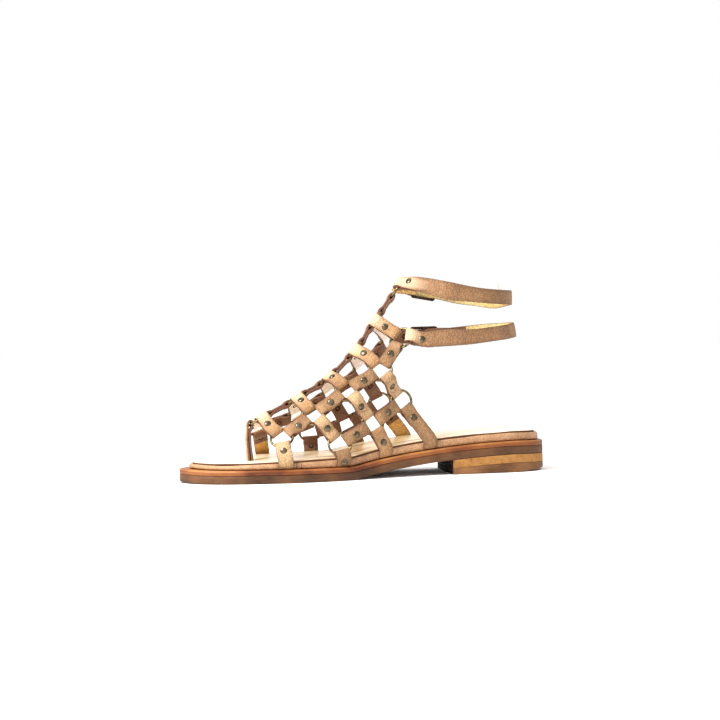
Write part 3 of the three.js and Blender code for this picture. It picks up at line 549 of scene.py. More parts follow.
# The ankle straps are a slightly darker tan
strapGrain = finish("ankle_strap_leather", leatherFinish(0xAE8055, 0x9C7047, 0x835B38, 0.6, 1.4, 0.8))
# The flesh side and the folded tails inside the net are brown and fibrous
brownFlesh = finish("brown_flesh_side", suedeFinish(0x7E5840, 0x54361F))
# The lateral rungs are lined with a pale skin, rubbed brown here and there
paleLining = finish("pale_rung_lining", suedeFinish(0xFFFAF4, 0xE2C6AE))
# Cut edges of the straps are raw and darker than the grain
rawEdge = finish("raw_cut_edge", cutEdgeFinish(0x80543A, 0x503220, 0.9))
# The straps are lined with smooth golden yellow leather
goldLining = finish("gold_lining", leatherFinish(0xF2C67E, 0xE2B060, 0xC68F40, 0.5, 1.6, 0.15))
strapLining = finish("ankle_strap_lining", leatherFinish(0xF4DDA2, 0xE8CA86, 0xD2AC62, 0.5, 1.6, 0.15))
# The insole cover is pale gold foiled leather with soft creases; its creases carry painted shade and
# highlight, and its toe and heel ends a painted highlight
goldFoil = finish("pale_gold_foiled_leather", foilFinish(0xFFE8BA, 0xF8CE8C, 0xC08A4C, 0xFCEFD2))
# The rim of the footbed is wrapped in thin tan leather
rimLeather = finish("rim_wrap_leather", leatherFinish(0xD2A47A, 0xBF9066, 0xA0724E, 0.5, 1.3, 0.3, 20.0))
midsoleEdge = finish("waxed_midsole_edge", soleEdgeFinish(0x8C5227, 0x763F1A, 0x54250E, 1.6, 0.45))
# The rounded top edge of the midsole is painted lighter: a painted highlight
midsoleBevelHighlight = finish("midsole_bevel_painted_highlight", soleEdgeFinish(0xA9703A, 0x915527, 0x713914, 1.8, 0.45))
outsoleEdge = finish("waxed_outsole_edge", soleEdgeFinish(0x684325, 0x54341A, 0x3C220E, 1.3, 0.6))
corkBlock = finish("pressed_cork", corkFinish())
topLift = finish("dark_top_lift_rubber", soleEdgeFinish(0x8B5F3A, 0x764E2B, 0x56361A, 1.1, 0.6))
# The heel's breast faces the hollow under the waist: its near-black is painted shade
breastShade = finish("painted_breast_shade", soleEdgeFinish(0x35231A, 0x251810, 0x180F0A, 1.6, 0.95))
antiqueBrass = finish("antique_brass_plate", metalFinish(0x95825A, 0x43371F, 0.34))
darkBronze = finish("dark_bronze_plate", metalFinish(0x4A3A2A, 0x1E1610, 0.4))
rivetMetal = finish("antique_rivet_metal", metalFinish(0x7A6E59, 0x3A3226, 0.3))
yellowThread = finish("yellow_thread", suedeFinish(0xE0A850, 0xC08430))
darkHollow = finish("dark_hollow_rivet", metalFinish(0x3A2E22, 0x1C140E, 0.5))
paleFloor = finish("pale_studio_floor", floorFinish(0xFFFFFF))

# Meshes


def makePiece(name, points, faces, materials, picks=None, worn=None, node=None,
              sharp=42):
    """A smooth mesh piece in the row frame from points in millimetres."""
    mesh = bpy.data.meshes.new(name)
    mesh.from_pydata([(Vector(p) + footShift) * 0.001 for p in points], [], faces)
    mesh.validate()
    for material in materials:
        mesh.materials.append(material)
    if picks:
        mesh.polygons.foreach_set("material_index", picks)
    if worn:
        layer = mesh.attributes.new("worn", "FLOAT", "POINT")
        layer.data.foreach_set("value", worn)
    mesh.polygons.foreach_set("use_smooth", [True] * len(mesh.polygons))
    mesh.set_sharp_from_angle(angle=math.radians(sharp))
    piece = bpy.data.objects.new(name, mesh)
    bpy.context.collection.objects.link(piece)
    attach(piece, "root")
    if node:
        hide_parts(node)


def sweepFaces(rows, across, closedRows, caps=True):
    """Faces of a tube of closed cross-sections, each with the same number of points."""
    faces = []
    last = rows if closedRows else rows - 1
    for i in range(last):
        for k in range(across):
            a = i * across + k
            b = i * across + (k + 1) % across
            c = (i + 1) % rows * across + (k + 1) % across
            d = (i + 1) % rows * across + k
            faces.append((a, b, c, d))
    if caps and not closedRows:
        faces.append(tuple(reversed(range(across))))
        faces.append(tuple(range((rows - 1) * across, rows * across)))
    return faces


def wirePiece(path, radius, sides, closed, upHint=Z):
    """Points and faces of round wire along a path."""
    points = []
    count = len(path)
    for i, p in enumerate(path):
        before = path[(i - 1) % count] if closed or i else p
        after = path[(i + 1) % count] if closed or i < count - 1 else p
        along = (after - before).normalized()
        side = along.cross(upHint)
        if side.length < 0.05:
            side = along.cross(Vector((1, 0, 0)))
        side.normalize()
        other = side.cross(along)
        for k in range(sides):
            angle = 2 * math.pi * k / sides
            points.append(p + side * math.cos(angle) * radius + other * math.sin(angle) * radius)
    return points, sweepFaces(count, sides, closed)


def joined(parts):
    """Several (points, faces) as one."""
    points, faces = [], []
    for morePoints, moreFaces in parts:
        start = len(points)
        points += morePoints
        faces += [tuple(k + start for k in face) for face in moreFaces]
    return points, faces


class Run:
    """The centre line of a strap: points with a width direction, read by distance from the first point."""

    def __init__(self, points, widths, outward=None):
        self.points = points
        self.reach = [0.0]
        for a, b in zip(points, points[1:]):
            self.reach.append(self.reach[-1] + (b - a).length)
        self.length = self.reach[-1]
        self.widths = widths
        self.flip = 1
        if outward is not None:
            self.face(self.length / 2, outward)

    def face(self, s, outward):
        """Turns the outward direction at a distance to the given side."""
        if self.at(s)[3].dot(outward) < 0:
            self.flip = -1

    def at(self, s):
        """Point, direction, width direction and outward direction at a distance."""
        inside = min(max(s, 0.0), self.length)
        i = 0
        while i < len(self.reach) - 2 and inside > self.reach[i + 1]:
            i += 1
        t = (inside - self.reach[i]) / (self.reach[i + 1] - self.reach[i])
        point = self.points[i].lerp(self.points[i + 1], t)
        here = (self.points[i + 1] - self.points[i]).normalized()
        if t < 0.5 and i > 0:
            other = (self.points[i] - self.points[i - 1]).normalized()
            here = other.lerp(here, 0.5 + t).normalized()
        if t >= 0.5 and i < len(self.points) - 2:
            other = (self.points[i + 2] - self.points[i + 1]).normalized()
            here = here.lerp(other, t - 0.5).normalized()
        width = self.widths[i].lerp(self.widths[i + 1], t)
        width = (width - here * width.dot(here) * 0.8).normalized()
        outward = here.cross(width).normalized() * self.flip
        point = point + here * (s - inside)
        return point, here, width, outward


def loopArc(at, sign, radius, first, last, reach, count=11):
    """Profile points of a loop that stands off the wire, its fold at the given reach on the side of sign."""
    result = []
    for k in range(count):
        angle = math.radians(first + (last - first) * k / (count - 1))
        result.append((at + sign * math.cos(angle) * reach, math.sin(angle) * radius))
    return result


def spread(at, sign, radius, rest, length, side, outward, steps=5):
    """Profile points where a layer leaves the wire and comes to lie on the other, or the way back."""
    result = []
    for k in range(1, steps + 1):
        t = k / steps
        ease = t * t * (3 - 2 * t)
        result.append((at - sign * length * t, side * (radius + (rest - radius) * ease)))
    return result if outward else result[::-1]


def strapPiece(name, run, profile, closed, half, thickness, materials, hangs, reachAt=None, taper=None,
               ripple=0.0, paintedHighlight=noPaintedHighlight, tailBelow=-0.2, plainFrom=math.inf):
    """A strip of leather bent along a profile of (distance, height) over its run.

    The materials are the grain, the cut edge, the lining and last the flesh side. The flesh side shows on
    what lies below the height of a folded tail, and inside where the lining has ended.
    """
    count = len(profile)
    q = thickness / 2
    corner = min(0.28, q * 0.6)
    section = []
    for turn, kind in ((1, "outer"), (-1, "inner")):
        section += [(turn * (2 * k / (stripColumns - 1) - 1), 0, turn * q, kind) for k in range(stripColumns)]
        section += [(turn, beyond, turn * q * high, "edge") for beyond, high in edgeShape]
    across = len(section)
    points, worn = [], []
    for i, (s, h) in enumerate(profile):
        before = profile[(i - 1) % count] if closed or i else profile[0]
        after = profile[(i + 1) % count] if closed or i < count - 1 else profile[-1]
        ds, dh = after[0] - before[0], after[1] - before[1]
        size = math.hypot(ds, dh) or 1.0
        ns, nh = -dh / size, ds / size
        left, right = reachAt(s) if reachAt else (half, half)
        if taper:
            left, right = left * taper(s), right * taper(s)
        point, along, width, outward = run.at(s)
        for side, beyond, offset, kind in section:
            room = right if side > 0 else left
            y = side * (room - corner) + math.copysign(corner * beyond, side)
            y = max(min(y, right), -left)
            if kind == "edge":
                y += ripple * math.sin(s * 1.7 + side * 2.0 + h)
            raised = offset + (crown * (1 - (y / half) ** 2) if kind == "outer" else 0.0)
            position = point + width * y + outward * (h + nh * raised) + along * (ns * raised)
            for hang, at in hangs:
                near = max(0.0, 1 - abs(s - at) / (loopLength + 1.5))
                sag = ringRadius - math.sqrt(ringRadius ** 2 - min(abs(y), ringRadius * 0.9) ** 2)
                position -= hang["direction"] * sag * min(1.0, near * 1.35) * foldBend
            points.append(position)
            # Painted light in the point attribute: 0.55 darkens the grain side along both edges as painted
            # shade, and near the start a negative share lightens it as a painted highlight; 1.0 marks the cut
            # edge
            pale = paintedHighlight[0] * max(0.0, 1 - s / paintedHighlight[1]) if kind == "outer" else 0.0
            worn.append(1.0 if kind == "edge" else (0.55 if abs(side) > 0.95 else 0.0) - pale)
    faces = sweepFaces(count, across, closed)
    flesh = len(materials) - 1
    picks = []
    for s, h in profile if closed else profile[:-1]:
        for k in range(across):
            kinds = {section[k][3], section[(k + 1) % across][3]}
            if "edge" in kinds:
                picks.append(1)
            elif h < tailBelow:
                picks.append(flesh)
            elif "outer" in kinds:
                picks.append(0)
            else:
                picks.append(2 if s < plainFrom else flesh)
    picks += [1] * (len(faces) - len(picks))
    makePiece(name, points, faces, materials, picks, worn, name)


# Rings and what hangs on them
centres = {name: place(row) for name, row in ringRows.items()}
joins = {name: [] for name in ringRows}
normals = {}


def between(a, b):
    return centres[b] - centres[a]


def legFoot(side, along):
    x = stationX(along)
    share = shareAt(side, x)
    edge = planPoint(side, share, 0)
    inward = (planPoint(side, share, 1) - edge).normalized()
    slope = (midsoleTop(x + 1) - midsoleTop(x - 1)) / 2
    tangent = Vector((-inward.y, inward.x, -inward.y * slope)).normalized()
    low = edge + inward * (rimInset(x) - footGap - leather / 2)
    low.z = midsoleTop(x) + layerGap + leather / 2 + tuckRise
    turned = low + inward * tuckRise * 0.6
    turned.z -= tuckRise
    above = low - inward * leather / 2
    above.z = footbedTop(x) + clearance
    return {"low": low, "turned": turned, "above": above, "inward": inward, "tangent": tangent}


feet = {name: legFoot(-1 if "medial" in name else 1, row[1]) for name, row in legRows.items()}
legOf = {row[0]: name for name, row in legRows.items()}


def footFrom(ring, source):
    return feet[legOf[ring]]["above"] - centres[source]


for side, high, low in ((-1, "M", "N"), (1, "L", "K")):
    def outwardOf(along, down):
        return (down.cross(along) if side < 0 else along.cross(down)).normalized()
    normals[high + "0"] = outwardOf(between(high + "0", high + "1"), footFrom(high + "0", "C0"))
    for i in (1, 2, 3):
        normals[f"{high}{i}"] = outwardOf(between(f"{high}{i - 1}", f"{high}{i + 1}"),
                                          between(f"C{i}", f"{low}{i}"))
        normals[f"{low}{i}"] = outwardOf(between(f"{low}{max(i - 1, 1)}", f"{low}{min(i + 1, 3)}"),
                                         footFrom(f"{low}{i}", f"{high}{i}"))
    normals[high + "4"] = outwardOf(between(high + "3", high + "4"), between("C4", high + "4"))
for i in range(6):
    along = between(f"C{max(i - 1, 0)}", f"C{min(i + 1, 5)}")
    normals[f"C{i}"] = along.cross(spineAcross).normalized()

links = [(f"spine_link_{i + 1}", f"C{i}", f"C{i + 1}") for i in range(5)]
for sideName, high, low in (("medial", "M", "N"), ("lateral", "L", "K")):
    links += [(f"rung_link_{sideName}_{i}", f"C{i}", f"{high}{i}") for i in range(5)]
    links += [(f"upper_row_{sideName}_{i + 1}", f"{high}{i}", f"{high}{i + 1}") for i in range(4)]
    links += [(f"drop_link_{sideName}_{i}", f"{high}{i}", f"{low}{i}") for i in (1, 2, 3)]
    links += [(f"lower_row_{sideName}_{i}", f"{low}{i}", f"{low}{i + 1}") for i in (1, 2)]
for name, a, b in links:
    joins[a].append((name, centres[b]))
    joins[b].append((name, centres[a]))
for name, row in legRows.items():
    joins[row[0]].append((name, feet[name]["above"]))
thongPoint = Vector((stationX(thongFoot[0]), thongFoot[1] * ballWidth / 2, 0))
thongPoint.z = footbedBottom(thongPoint.x) + layerGap
joins["C0"].append(("thong", thongPoint))
strapPoints = {name: [place(row) for row in rows] for name, rows in strapRows.items()}
strapEnds = {"upper": ("C5", "C5"), "lower": ("M4", "L4")}
for name, ends in strapEnds.items():
    joins[ends[0]].append((name + "_medial", strapPoints[name][0]))
    joins[ends[1]].append((name + "_lateral", strapPoints[name][-1]))


def hangOf(ring, name):
    """Where a piece hangs on a ring: its direction in the ring's plane, the wire's centre, the room beside."""
    normal = normals[ring]
    target = dict(joins[ring])[name]
    direction = target - centres[ring]
    direction = (direction - normal * direction.dot(normal)).normalized()
    tangent = normal.cross(direction)
    left = right = math.pi
    for other, away in joins[ring]:
        offset = away - centres[ring]
        angle = math.atan2(offset.dot(tangent), offset.dot(direction))
        if other != name and angle > 0:
            left = min(left, angle)
        if other != name and angle < 0:
            right = min(right, -angle)
    return {"ring": ring, "direction": direction, "tangent": tangent, "left": left, "right": right,
            "wire": centres[ring] + direction * ringRadius, "normal": normal}


def sideRoom(angle, distance, half):
    if angle / 2 > 1.3:
        return half
    return min(half, max(distance * math.tan(angle / 2) - clearance / 2 / math.cos(angle / 2), half * 0.55))


def hermite(a, ta, b, tb, count):
    """Points from a to b that leave along ta and arrive along tb."""
    span = (b - a).length
    result = []
    for k in range(count + 1):
        t = k / count
        rise = t * t * (3 - 2 * t)
        result.append(a * (1 - rise) + b * rise + (ta * t * (1 - t) ** 2 - tb * t * t * (1 - t)) * span)
    return result


def ringParts(ring):
    """A ring of round wire."""
    normal = normals[ring]
    side = normal.cross(Vector((0.3, 0.2, 1))).normalized()
    other = normal.cross(side)
    path = []
    for k in range(ringSegments):
        angle = 2 * math.pi * k / ringSegments
        ray = side * math.cos(angle) + other * math.sin(angle)
        path.append(centres[ring] + ray * ringRadius)
    return wirePiece(path, wireRadius, wireSides, True, normal)


def turnedParts(base, outward, shape, sides):
    """A shape of (radius, height) rows turned round the outward direction."""
    side = outward.cross(Vector((0.31, 0.2, 0.93))).normalized()
    other = outward.cross(side)
    points = []
    for radius, high in shape:
        for k in range(sides):
            angle = 2 * math.pi * k / sides
            ray = side * math.cos(angle) + other * math.sin(angle)
            points.append(base + ray * radius + outward * high)
    return points, sweepFaces(len(shape), sides, False)


rivetHeads = []
rivetBacks = []


def rivetThrough(run, s, layer, slide=0.0, sunk=0.0):
    """A rivet through both layers: its domed head outside, its tubular back inside."""
    point, _, width, outward = run.at(s)
    head = [(share * rivetRadius, high * rivetRise) for share, high, _ in headShape]
    headAt = point + width * slide + outward * (layer + 0.12 - sunk)
    rivetHeads.append(turnedParts(headAt, outward, head, headSides))
    rivetBacks.append(turnedParts(point - outward * (layer + 0.05), -outward, backShape, backSides))


def lightingCopyOf(name):
    """Which copy of the tan leather a piece gets: the drops and the first legs the paler one, painted
    highlight, the rows the deeper one, painted shade.
    """
    if name.startswith("drop") or name.endswith("al_1") and name.startswith("leg"):
        return litGrainCopy
    return tanGrain if name.startswith("rung") or name.startswith("leg") and name.endswith("3") else shadedGrainCopy


def roomBeside(hang, away, half, turned=False):
    """How far a piece reaches to its two sides at a distance from its ring, swapped where it runs to it."""
    sides = (hang["left"], hang["right"]) if turned else (hang["right"], hang["left"])
    return [sideRoom(side, ringRadius + away, half) for side in sides]


def linkProfile(length, radius0, radius1, rest, fold0, fold1, close=loopLength):
    """Both layers of a link as one closed profile round two wires or bars."""
    profile = []
    middle = length / 2
    settle = min(close, middle - 1.2)
    profile.append((middle, rest))
    profile += spread(length, 1, radius1, rest, settle, 1, False)
    profile += loopArc(length, 1, radius1, 90, -90, fold1)
    profile += spread(length, 1, radius1, rest, settle, -1, True)
    profile.append((middle, -rest))
    profile += spread(0, -1, radius0, rest, settle, -1, False)
    profile += loopArc(0, -1, radius0, -90, 90, fold0)
    profile += spread(0, -1, radius0, rest, settle, 1, True)
    return profile


def bentPath(a, leave, b, arrive, near, count):
    """Points from a to b that keep to the ring's plane for the given length at each end and bend between."""
    corners = [a, a + leave * near[0], b + arrive * near[1], b]
    reach = [0.0]
    for one, two in zip(corners, corners[1:]):
        reach.append(reach[-1] + (two - one).length)
    result = []
    for k in range(count + 1):
        s = reach[-1] * k / count
        i = 0
        while i < 2 and s > reach[i + 1]:
            i += 1
        result.append(corners[i].lerp(corners[i + 1], (s - reach[i]) / (reach[i + 1] - reach[i])))
    for _ in range(3):
        inner = [(result[k - 1] + result[k] * 2 + result[k + 1]) / 4 for k in range(1, count)]
        result = [result[0]] + inner + [result[-1]]
    return result


wrapRadius = wireRadius + 0.2 + leather / 2
for name, a, b in links:
    start, end = hangOf(a, name), hangOf(b, name)
    ends = linkEnds.get(name[:-2], plainEnds)
    path = bentPath(start["wire"], start["direction"], end["wire"], end["direction"], ends, linkSteps)
    outward = (start["normal"] + end["normal"]).normalized()
    twist = rowTwist if "row" in name else 0.0
    widths = []
    for k in range(linkSteps + 1):
        width = start["tangent"].lerp(-end["tangent"], k / linkSteps)
        turn = twist * math.sin(math.pi * k / linkSteps) * (1 if width.z < 0 else -1)
        widths.append(width * math.cos(turn) - outward * math.sin(turn))
    run = Run(path, widths, outward)

    def reachAt(s):
        nearStart = roomBeside(start, s, linkWidth / 2)
        nearEnd = roomBeside(end, run.length - s, linkWidth / 2, True)
        return [min(pair) for pair in zip(nearStart, nearEnd)]
    sunk, layer, close = spineLink if name.startswith("spine") else (0.0, leather, loopLength)
    profile = linkProfile(run.length, wrapRadius, wrapRadius, layer / 2 + 0.03, foldReach, foldReach, close)
    inside = paleLining if name.startswith("rung_link_lateral") else brownFlesh
    strapPiece(name, run, profile, True, linkWidth / 2, layer, [lightingCopyOf(name), rawEdge, inside],
               [(start, 0.0), (end, run.length)], reachAt, ripple=0.08,
               paintedHighlight=rungPaintedHighlight if name.startswith("rung") else noPaintedHighlight)
    rivetThrough(run, run.length / 2 + rng.uniform(-0.4, 0.4), leather, rng.uniform(-0.3, 0.3), sunk)

ringNodes = {f"C{i}": f"spine_ring_{i}" for i in range(6)}
for ring in ringRows:
    points, faces = ringParts(ring)
    makePiece("ring_" + ring, points, faces, [antiqueBrass], node=ringNodes.get(ring))


def settling(total, steps, rest, start, over):
    """The rest of a folded strap's outer layer, which sinks to the middle where the tail under it ends."""
    result = []
    for k in range(1, steps + 1):
        s = loopLength + (total - loopLength) * k / steps
        result.append((s, rest * (1 - min(max((s - start) / over, 0), 1))))
    return result


def foldedProfile(tail, rest, radius, upto, fold=foldReach):
    """An open profile: a tail on the inner side, round the wire, then out along the strap."""
    profile = [(tail, -rest), (max(tail * 0.75, loopLength), -rest)] if tail > loopLength + 0.5 else []
    profile += spread(0, -1, radius, rest, min(loopLength, tail), -1, False)
    profile += loopArc(0, -1, radius, -90, 90, fold)
    profile += spread(0, -1, radius, rest, loopLength, 1, True)
    return profile + upto


# Legs
for name, (ring, _, rivetAt) in legRows.items():
    foot = feet[name]
    hang = hangOf(ring, name)
    footWidth = foot["tangent"] * (-1 if hang["tangent"].dot(foot["tangent"]) < 0 else 1)
    down = (foot["low"] - foot["above"]).normalized()
    drop = (foot["above"] - hang["wire"]).length
    path = bentPath(hang["wire"], hang["direction"], foot["above"], -down, legEnds, legSteps)
    widths = [hang["tangent"].lerp(footWidth, k / legSteps).normalized() for k in range(legSteps + 1)]
    path += hermite(foot["above"], down, foot["turned"] + foot["inward"] * 1.2, foot["inward"], 8)[1:]
    path.append(foot["turned"] + foot["inward"] * tuckLength)
    widths += [footWidth] * (len(path) - len(widths))
    run = Run(path, widths)
    run.face(drop * 0.5, -foot["inward"] + Z * 0.3)
    rest = leather / 2 + 0.04
    tail = max(min(drop - 1.0, rivetAt + 4.2), 2.0)
    upto = settling(run.length, 14, rest, drop * 0.7, drop * 0.4 + 1)
    strapPiece(name, run, foldedProfile(tail, rest, wrapRadius, upto), False, legWidth / 2, leather,
               [lightingCopyOf(name), rawEdge, goldLining, brownFlesh], [(hang, 0.0)],
               lambda s: roomBeside(hang, s, legWidth / 2), ripple=0.08)
    rivetThrough(run, rivetAt, leather)

# Thong: both layers of a narrow strap, folded on the first ring and let into the footbed
hang = hangOf("C0", "thong")
straight = (thongPoint - hang["wire"]).normalized()
leaving = straight.lerp(hang["direction"], 0.25).normalized()
run = Run(hermite(hang["wire"], leaving, thongPoint, straight, 12), [hang["tangent"]] * 13,
          Vector((-1, 0, 0.3)))
thongLayer = leather * 1.15
rest = thongLayer / 2 + 0.1
thongProfile = [(run.length, -rest - 0.5), (run.length * 0.8, -rest - 0.55), (run.length * 0.5, -rest - 0.2)]
thongProfile += spread(0, -1, wrapRadius, rest, loopLength, -1, False)
thongProfile += loopArc(0, -1, wrapRadius, -90, 90, foldReach)
thongProfile += spread(0, -1, wrapRadius, rest + 0.1, loopLength, 1, True)
thongProfile += [(run.length * k / 6, rest + 0.2) for k in (2, 3, 4, 5, 6)]
strapPiece("toe_thong", run, thongProfile, False, thongWidth / 2, thongLayer,
           [litGrainCopy, rawEdge, brownFlesh], [(hang, 0.0)], tailBelow=-math.inf)


# Ankle straps and buckles
def buckleFrame(name):
    hang = hangOf(strapEnds[name][1], name + "_lateral")
    along = (strapPoints[name][-1] - hang["wire"]).normalized()
    lean = Z + Vector((-along.y, along.x, 0)) * strapLean[name]
    up = (lean - along * lean.dot(along)).normalized()
    out = up.cross(along).normalized()
    if out.y < 0:
        out = -out

    def at(distance, offset=0.0, rise=0.0):
        return hang["wire"] + along * distance + out * offset + up * rise
    return hang, up, out, at


foldHalf = buckleWire + clearance + leather
longHalf = strapThickness / 2
threads = []
for name in ("upper", "lower"):
    hang, up, out, at = buckleFrame(name)
    pivotAt, farBarAt = frameBars[name]
    frameLine = []
    for d, r, start in ((farBarAt, frameHalf, 0), (pivotAt, frameHalf, 90), (pivotAt, -frameHalf, 180),
                        (farBarAt, -frameHalf, 270)):
        inX = frameCorner if d == pivotAt else -frameCorner
        inZ = math.copysign(frameCorner, -r)
        for k in range(7):
            angle = math.radians(start + 90 * k / 6)
            frameLine.append(at(d + inX + frameCorner * math.cos(angle), 0.0,
                                r + inZ + frameCorner * math.sin(angle)))
    lift = buckleWire + prongRadius
    prongLine = [at(pivotAt + d, offset) for d, offset in prongBend]
    prongLine += [at((pivotAt + farBarAt) / 2, lift * 0.95), at(farBarAt - 1, lift),
                  at(farBarAt + buckleWire * 1.2, lift)]
    smooth = [curvePoint(prongLine, k / 40, False) for k in range(41)]
    points, faces = joined([wirePiece(frameLine, buckleWire, wireSides, True, out),
                            wirePiece(smooth, prongRadius, wireSides, False, up)])
    makePiece("buckle_" + name, points, faces, [darkBronze], node="buckle_" + name)

    # The short strap: loops on the ring and on the pivot bar, a rivet between
    across = up if hang["tangent"].dot(up) > 0 else -up
    widths = [hang["tangent"].lerp(across, min(1, k / 5)).normalized() for k in range(9)]
    run = Run([at(pivotAt * k / 8) for k in range(9)], widths)
    run.face(pivotAt, out)
    barRadius = buckleWire + 0.25 + leather / 2
    profile = linkProfile(run.length, wrapRadius, barRadius, leather / 2 + 0.04, foldReach, barRadius)
    inside = goldLining if name == "upper" else brownFlesh
    strapPiece("buckle_strap_" + name, run, profile, True, strapWidth / 2, leather,
               [tanGrain, rawEdge, inside], [(hang, 0.0)], lambda s: roomBeside(hang, s, strapWidth / 2))
    rivetThrough(run, run.length * 0.52, leather)

    # The long strap: folded on the medial ring, round the heel, under the far bar and over the pivot
    medial = hangOf(strapEnds[name][0], name + "_medial")
    upwards = medial["tangent"].z > 0
    first = (strapPoints[name][0] - medial["wire"]).normalized()
    centreLine = [medial["wire"], medial["wire"] + first * loopLength] + strapPoints[name][:-1]
    centreLine.append(at(farBarAt + 9))
    path, widths = [], []
    startAcross = medial["tangent"] * (1 if upwards else -1)
    for k in range(strapSteps + 1):
        share = k / strapSteps
        ahead = curvePoint(centreLine, min(share + 0.004, 1), False)
        behind = curvePoint(centreLine, max(share - 0.004, 0), False)
        tangent = (ahead - behind).normalized()
        lean = strapLean[name] + frontLean[name] * max(0.0, 1 - share / 0.24)
        level = (Z + Vector((-tangent.y, tangent.x, 0)) * lean).normalized()
        turn = min(share * strapTurn[name], 1)
        path.append(curvePoint(centreLine, share, False))
        widths.append(startAcross.lerp(level, turn * turn * (3 - 2 * turn)).normalized())
    under = buckleWire + clearance + longHalf
    over = foldHalf + clearance + longHalf
    tailLine = [at(farBarAt + 9), at(farBarAt + 4, -under * 0.8), at(farBarAt, -under),
                at(farBarAt - 4.5, -longHalf), at(pivotAt + 6, over * 0.75), at(pivotAt + 2.6, over + 0.2),
                at(pivotAt - 1.5, over + 0.2), at(tipDistance, over + 0.8)]
    path += [curvePoint(tailLine, k / 40, False) for k in range(1, 41)]
    widths += [up] * 40
    run = Run(path, widths)
    behindHeel = run.at(run.length * 0.4)[0]
    run.face(run.length * 0.4, behindHeel - Vector((70, 0, behindHeel.z)))
    rest = strapLayer / 2 + 0.04
    total = run.length

    def tipTaper(s):
        share = max(0.0, (s - total + tipLength) / tipLength)
        return max(0.3, math.sqrt(max(0.0, 1 - (share * 0.93) ** 2)))

    def longReach(s):
        lower, higher = roomBeside(medial, s, strapWidth / 2, not upwards)
        for middle, reach, above, below in strapSwell[name]:
            more = math.exp(-((s - middle) / reach) ** 2)
            lower, higher = lower + more * below, higher + more * above
        return lower, higher
    profile = foldedProfile(foldedTail, rest, wireRadius + 0.2 + strapLayer / 2,
                            settling(total, 180, rest, foldedTail, 5), strapFold[name])
    strapPiece("ankle_strap_" + name, run, profile, False, strapWidth / 2, strapLayer,
               [strapGrain, rawEdge, strapLining, brownFlesh], [(medial, 0.0)], longReach, tipTaper, 0.05,
               strapPaintedHighlight[name], plainFrom=total - plainEnd[name])
    rivetThrough(run, strapRivet[name], strapLayer, rivetSlide[name])
    for s, lean, rise in threadEnds[name]:
        point, towards, across, outward = run.at(s)
        root = point + across * (strapWidth / 2 - 0.4)
        line = [root, root + across * rise * 0.5 + towards * lean,
                root + across * rise + towards * lean * 2.6]
        thread = [curvePoint(line, k / 6, False) for k in range(7)]
        threads.append(wirePiece(thread, threadRadius, fineSides, False, outward))

points, faces = joined(rivetHeads)
# The darker rim rows of each rivet head are painted shade
rimShade = [row[2] for row in headShape for _ in range(headSides)]
makePiece("rivet_heads", points, faces, [rivetMetal], None, rimShade * len(rivetHeads))
points, faces = joined(rivetBacks)
makePiece("rivet_backs", points, faces, [darkHollow])
points, faces = joined(threads)
makePiece("thread_ends", points, faces, [yellowThread])


# Sole layers
def solePiece(name, levels, materials, picks=None, start=None):
    """Closed contours of the outline stacked upwards: a level is an inset and a height as functions of x."""
    points, faces, choice = [], [], []
    picks = picks or [0] * len(levels)
    loops = []
    for inset, height in levels:
        loop = []
        for side in (-1, 1):
            first = start[side] if start else 0.0
            shares = [first + (1 - first) * (0.5 - 0.5 * math.cos(math.pi * i / soleStations))
                      for i in range(soleStations + 1)]
            if side > 0:
                shares = shares[::-1]
                shares = shares[1:] if start else shares[1:-1]
            for share in shares:
                wave = (side, share)
                x = planPoint(side, share, 0).x
                point = planPoint(side, share, inset(x, wave))
                point.z = height(x, wave)
                loop.append(len(points))
                points.append(point)
        loops.append(loop)
    count = len(loops[0])
    for level, (low, high) in enumerate(zip(loops, loops[1:])):
        for i in range(count):
            faces.append((low[i], low[(i + 1) % count], high[(i + 1) % count], high[i]))
            choice.append(1 if start and i == count - 1 else picks[level])
    last = count - 1 if start else count
    for loop, turn, pick in ((loops[0], -1, picks[0]), (loops[-1], 1, picks[-1])):
        for i in range(count // 2):
            quad = [loop[i], loop[i + 1], loop[(last - 1 - i) % count], loop[(last - i) % count]]
            corners = list(dict.fromkeys(quad))
            if len(corners) > 2:
                faces.append(tuple(corners[::turn]))
                choice.append(pick)
    makePiece(name, points, faces, materials, choice, None, name, 35)


def even(inset=0.0):
    return lambda x, wave: inset


def atHeight(function, offset=0.0):
    return lambda x, wave: function(x) + offset


def waver(wave, amount, rate, phase):
    """A slow hand-made unevenness along the edge."""
    side, share = wave
    return amount * (math.sin(share * rate + phase * side) + 0.5 * math.sin(share * rate * 2.3 + 1.7 * phase))


outsoleLevels = [
    (even(0.9), atHeight(outsoleBottom)),
    (even(0.25), atHeight(outsoleBottom, 0.25)),
    (even(0.0), atHeight(outsoleBottom, 0.8)),
    (lambda x, w: waver(w, 0.05, 60, 1), atHeight(outsoleTop, -0.5)),
    (even(0.35), atHeight(outsoleTop)),
]
solePiece("outsole", outsoleLevels, [outsoleEdge])
midsoleLevels = [
    (even(0.35), atHeight(midsoleBottom, -0.12)),
    (lambda x, w: -0.05 + waver(w, 0.06, 70, 2), atHeight(midsoleBottom, 0.3)),
    (lambda x, w: waver(w, 0.08, 50, 3), atHeight(midsoleTop, -1.0)),
    (lambda x, w: 0.35 + waver(w, 0.08, 44, 4), atHeight(midsoleTop, -0.35)),
    (lambda x, w: 0.95 + waver(w, 0.1, 40, 5), atHeight(midsoleTop)),
    (even(2.2), atHeight(midsoleTop)),
]
# The top millimetre of the midsole's side and its ledge take the painted highlight
solePiece("midsole", midsoleLevels, [midsoleEdge, midsoleBevelHighlight], [0, 0, 1, 1, 1])


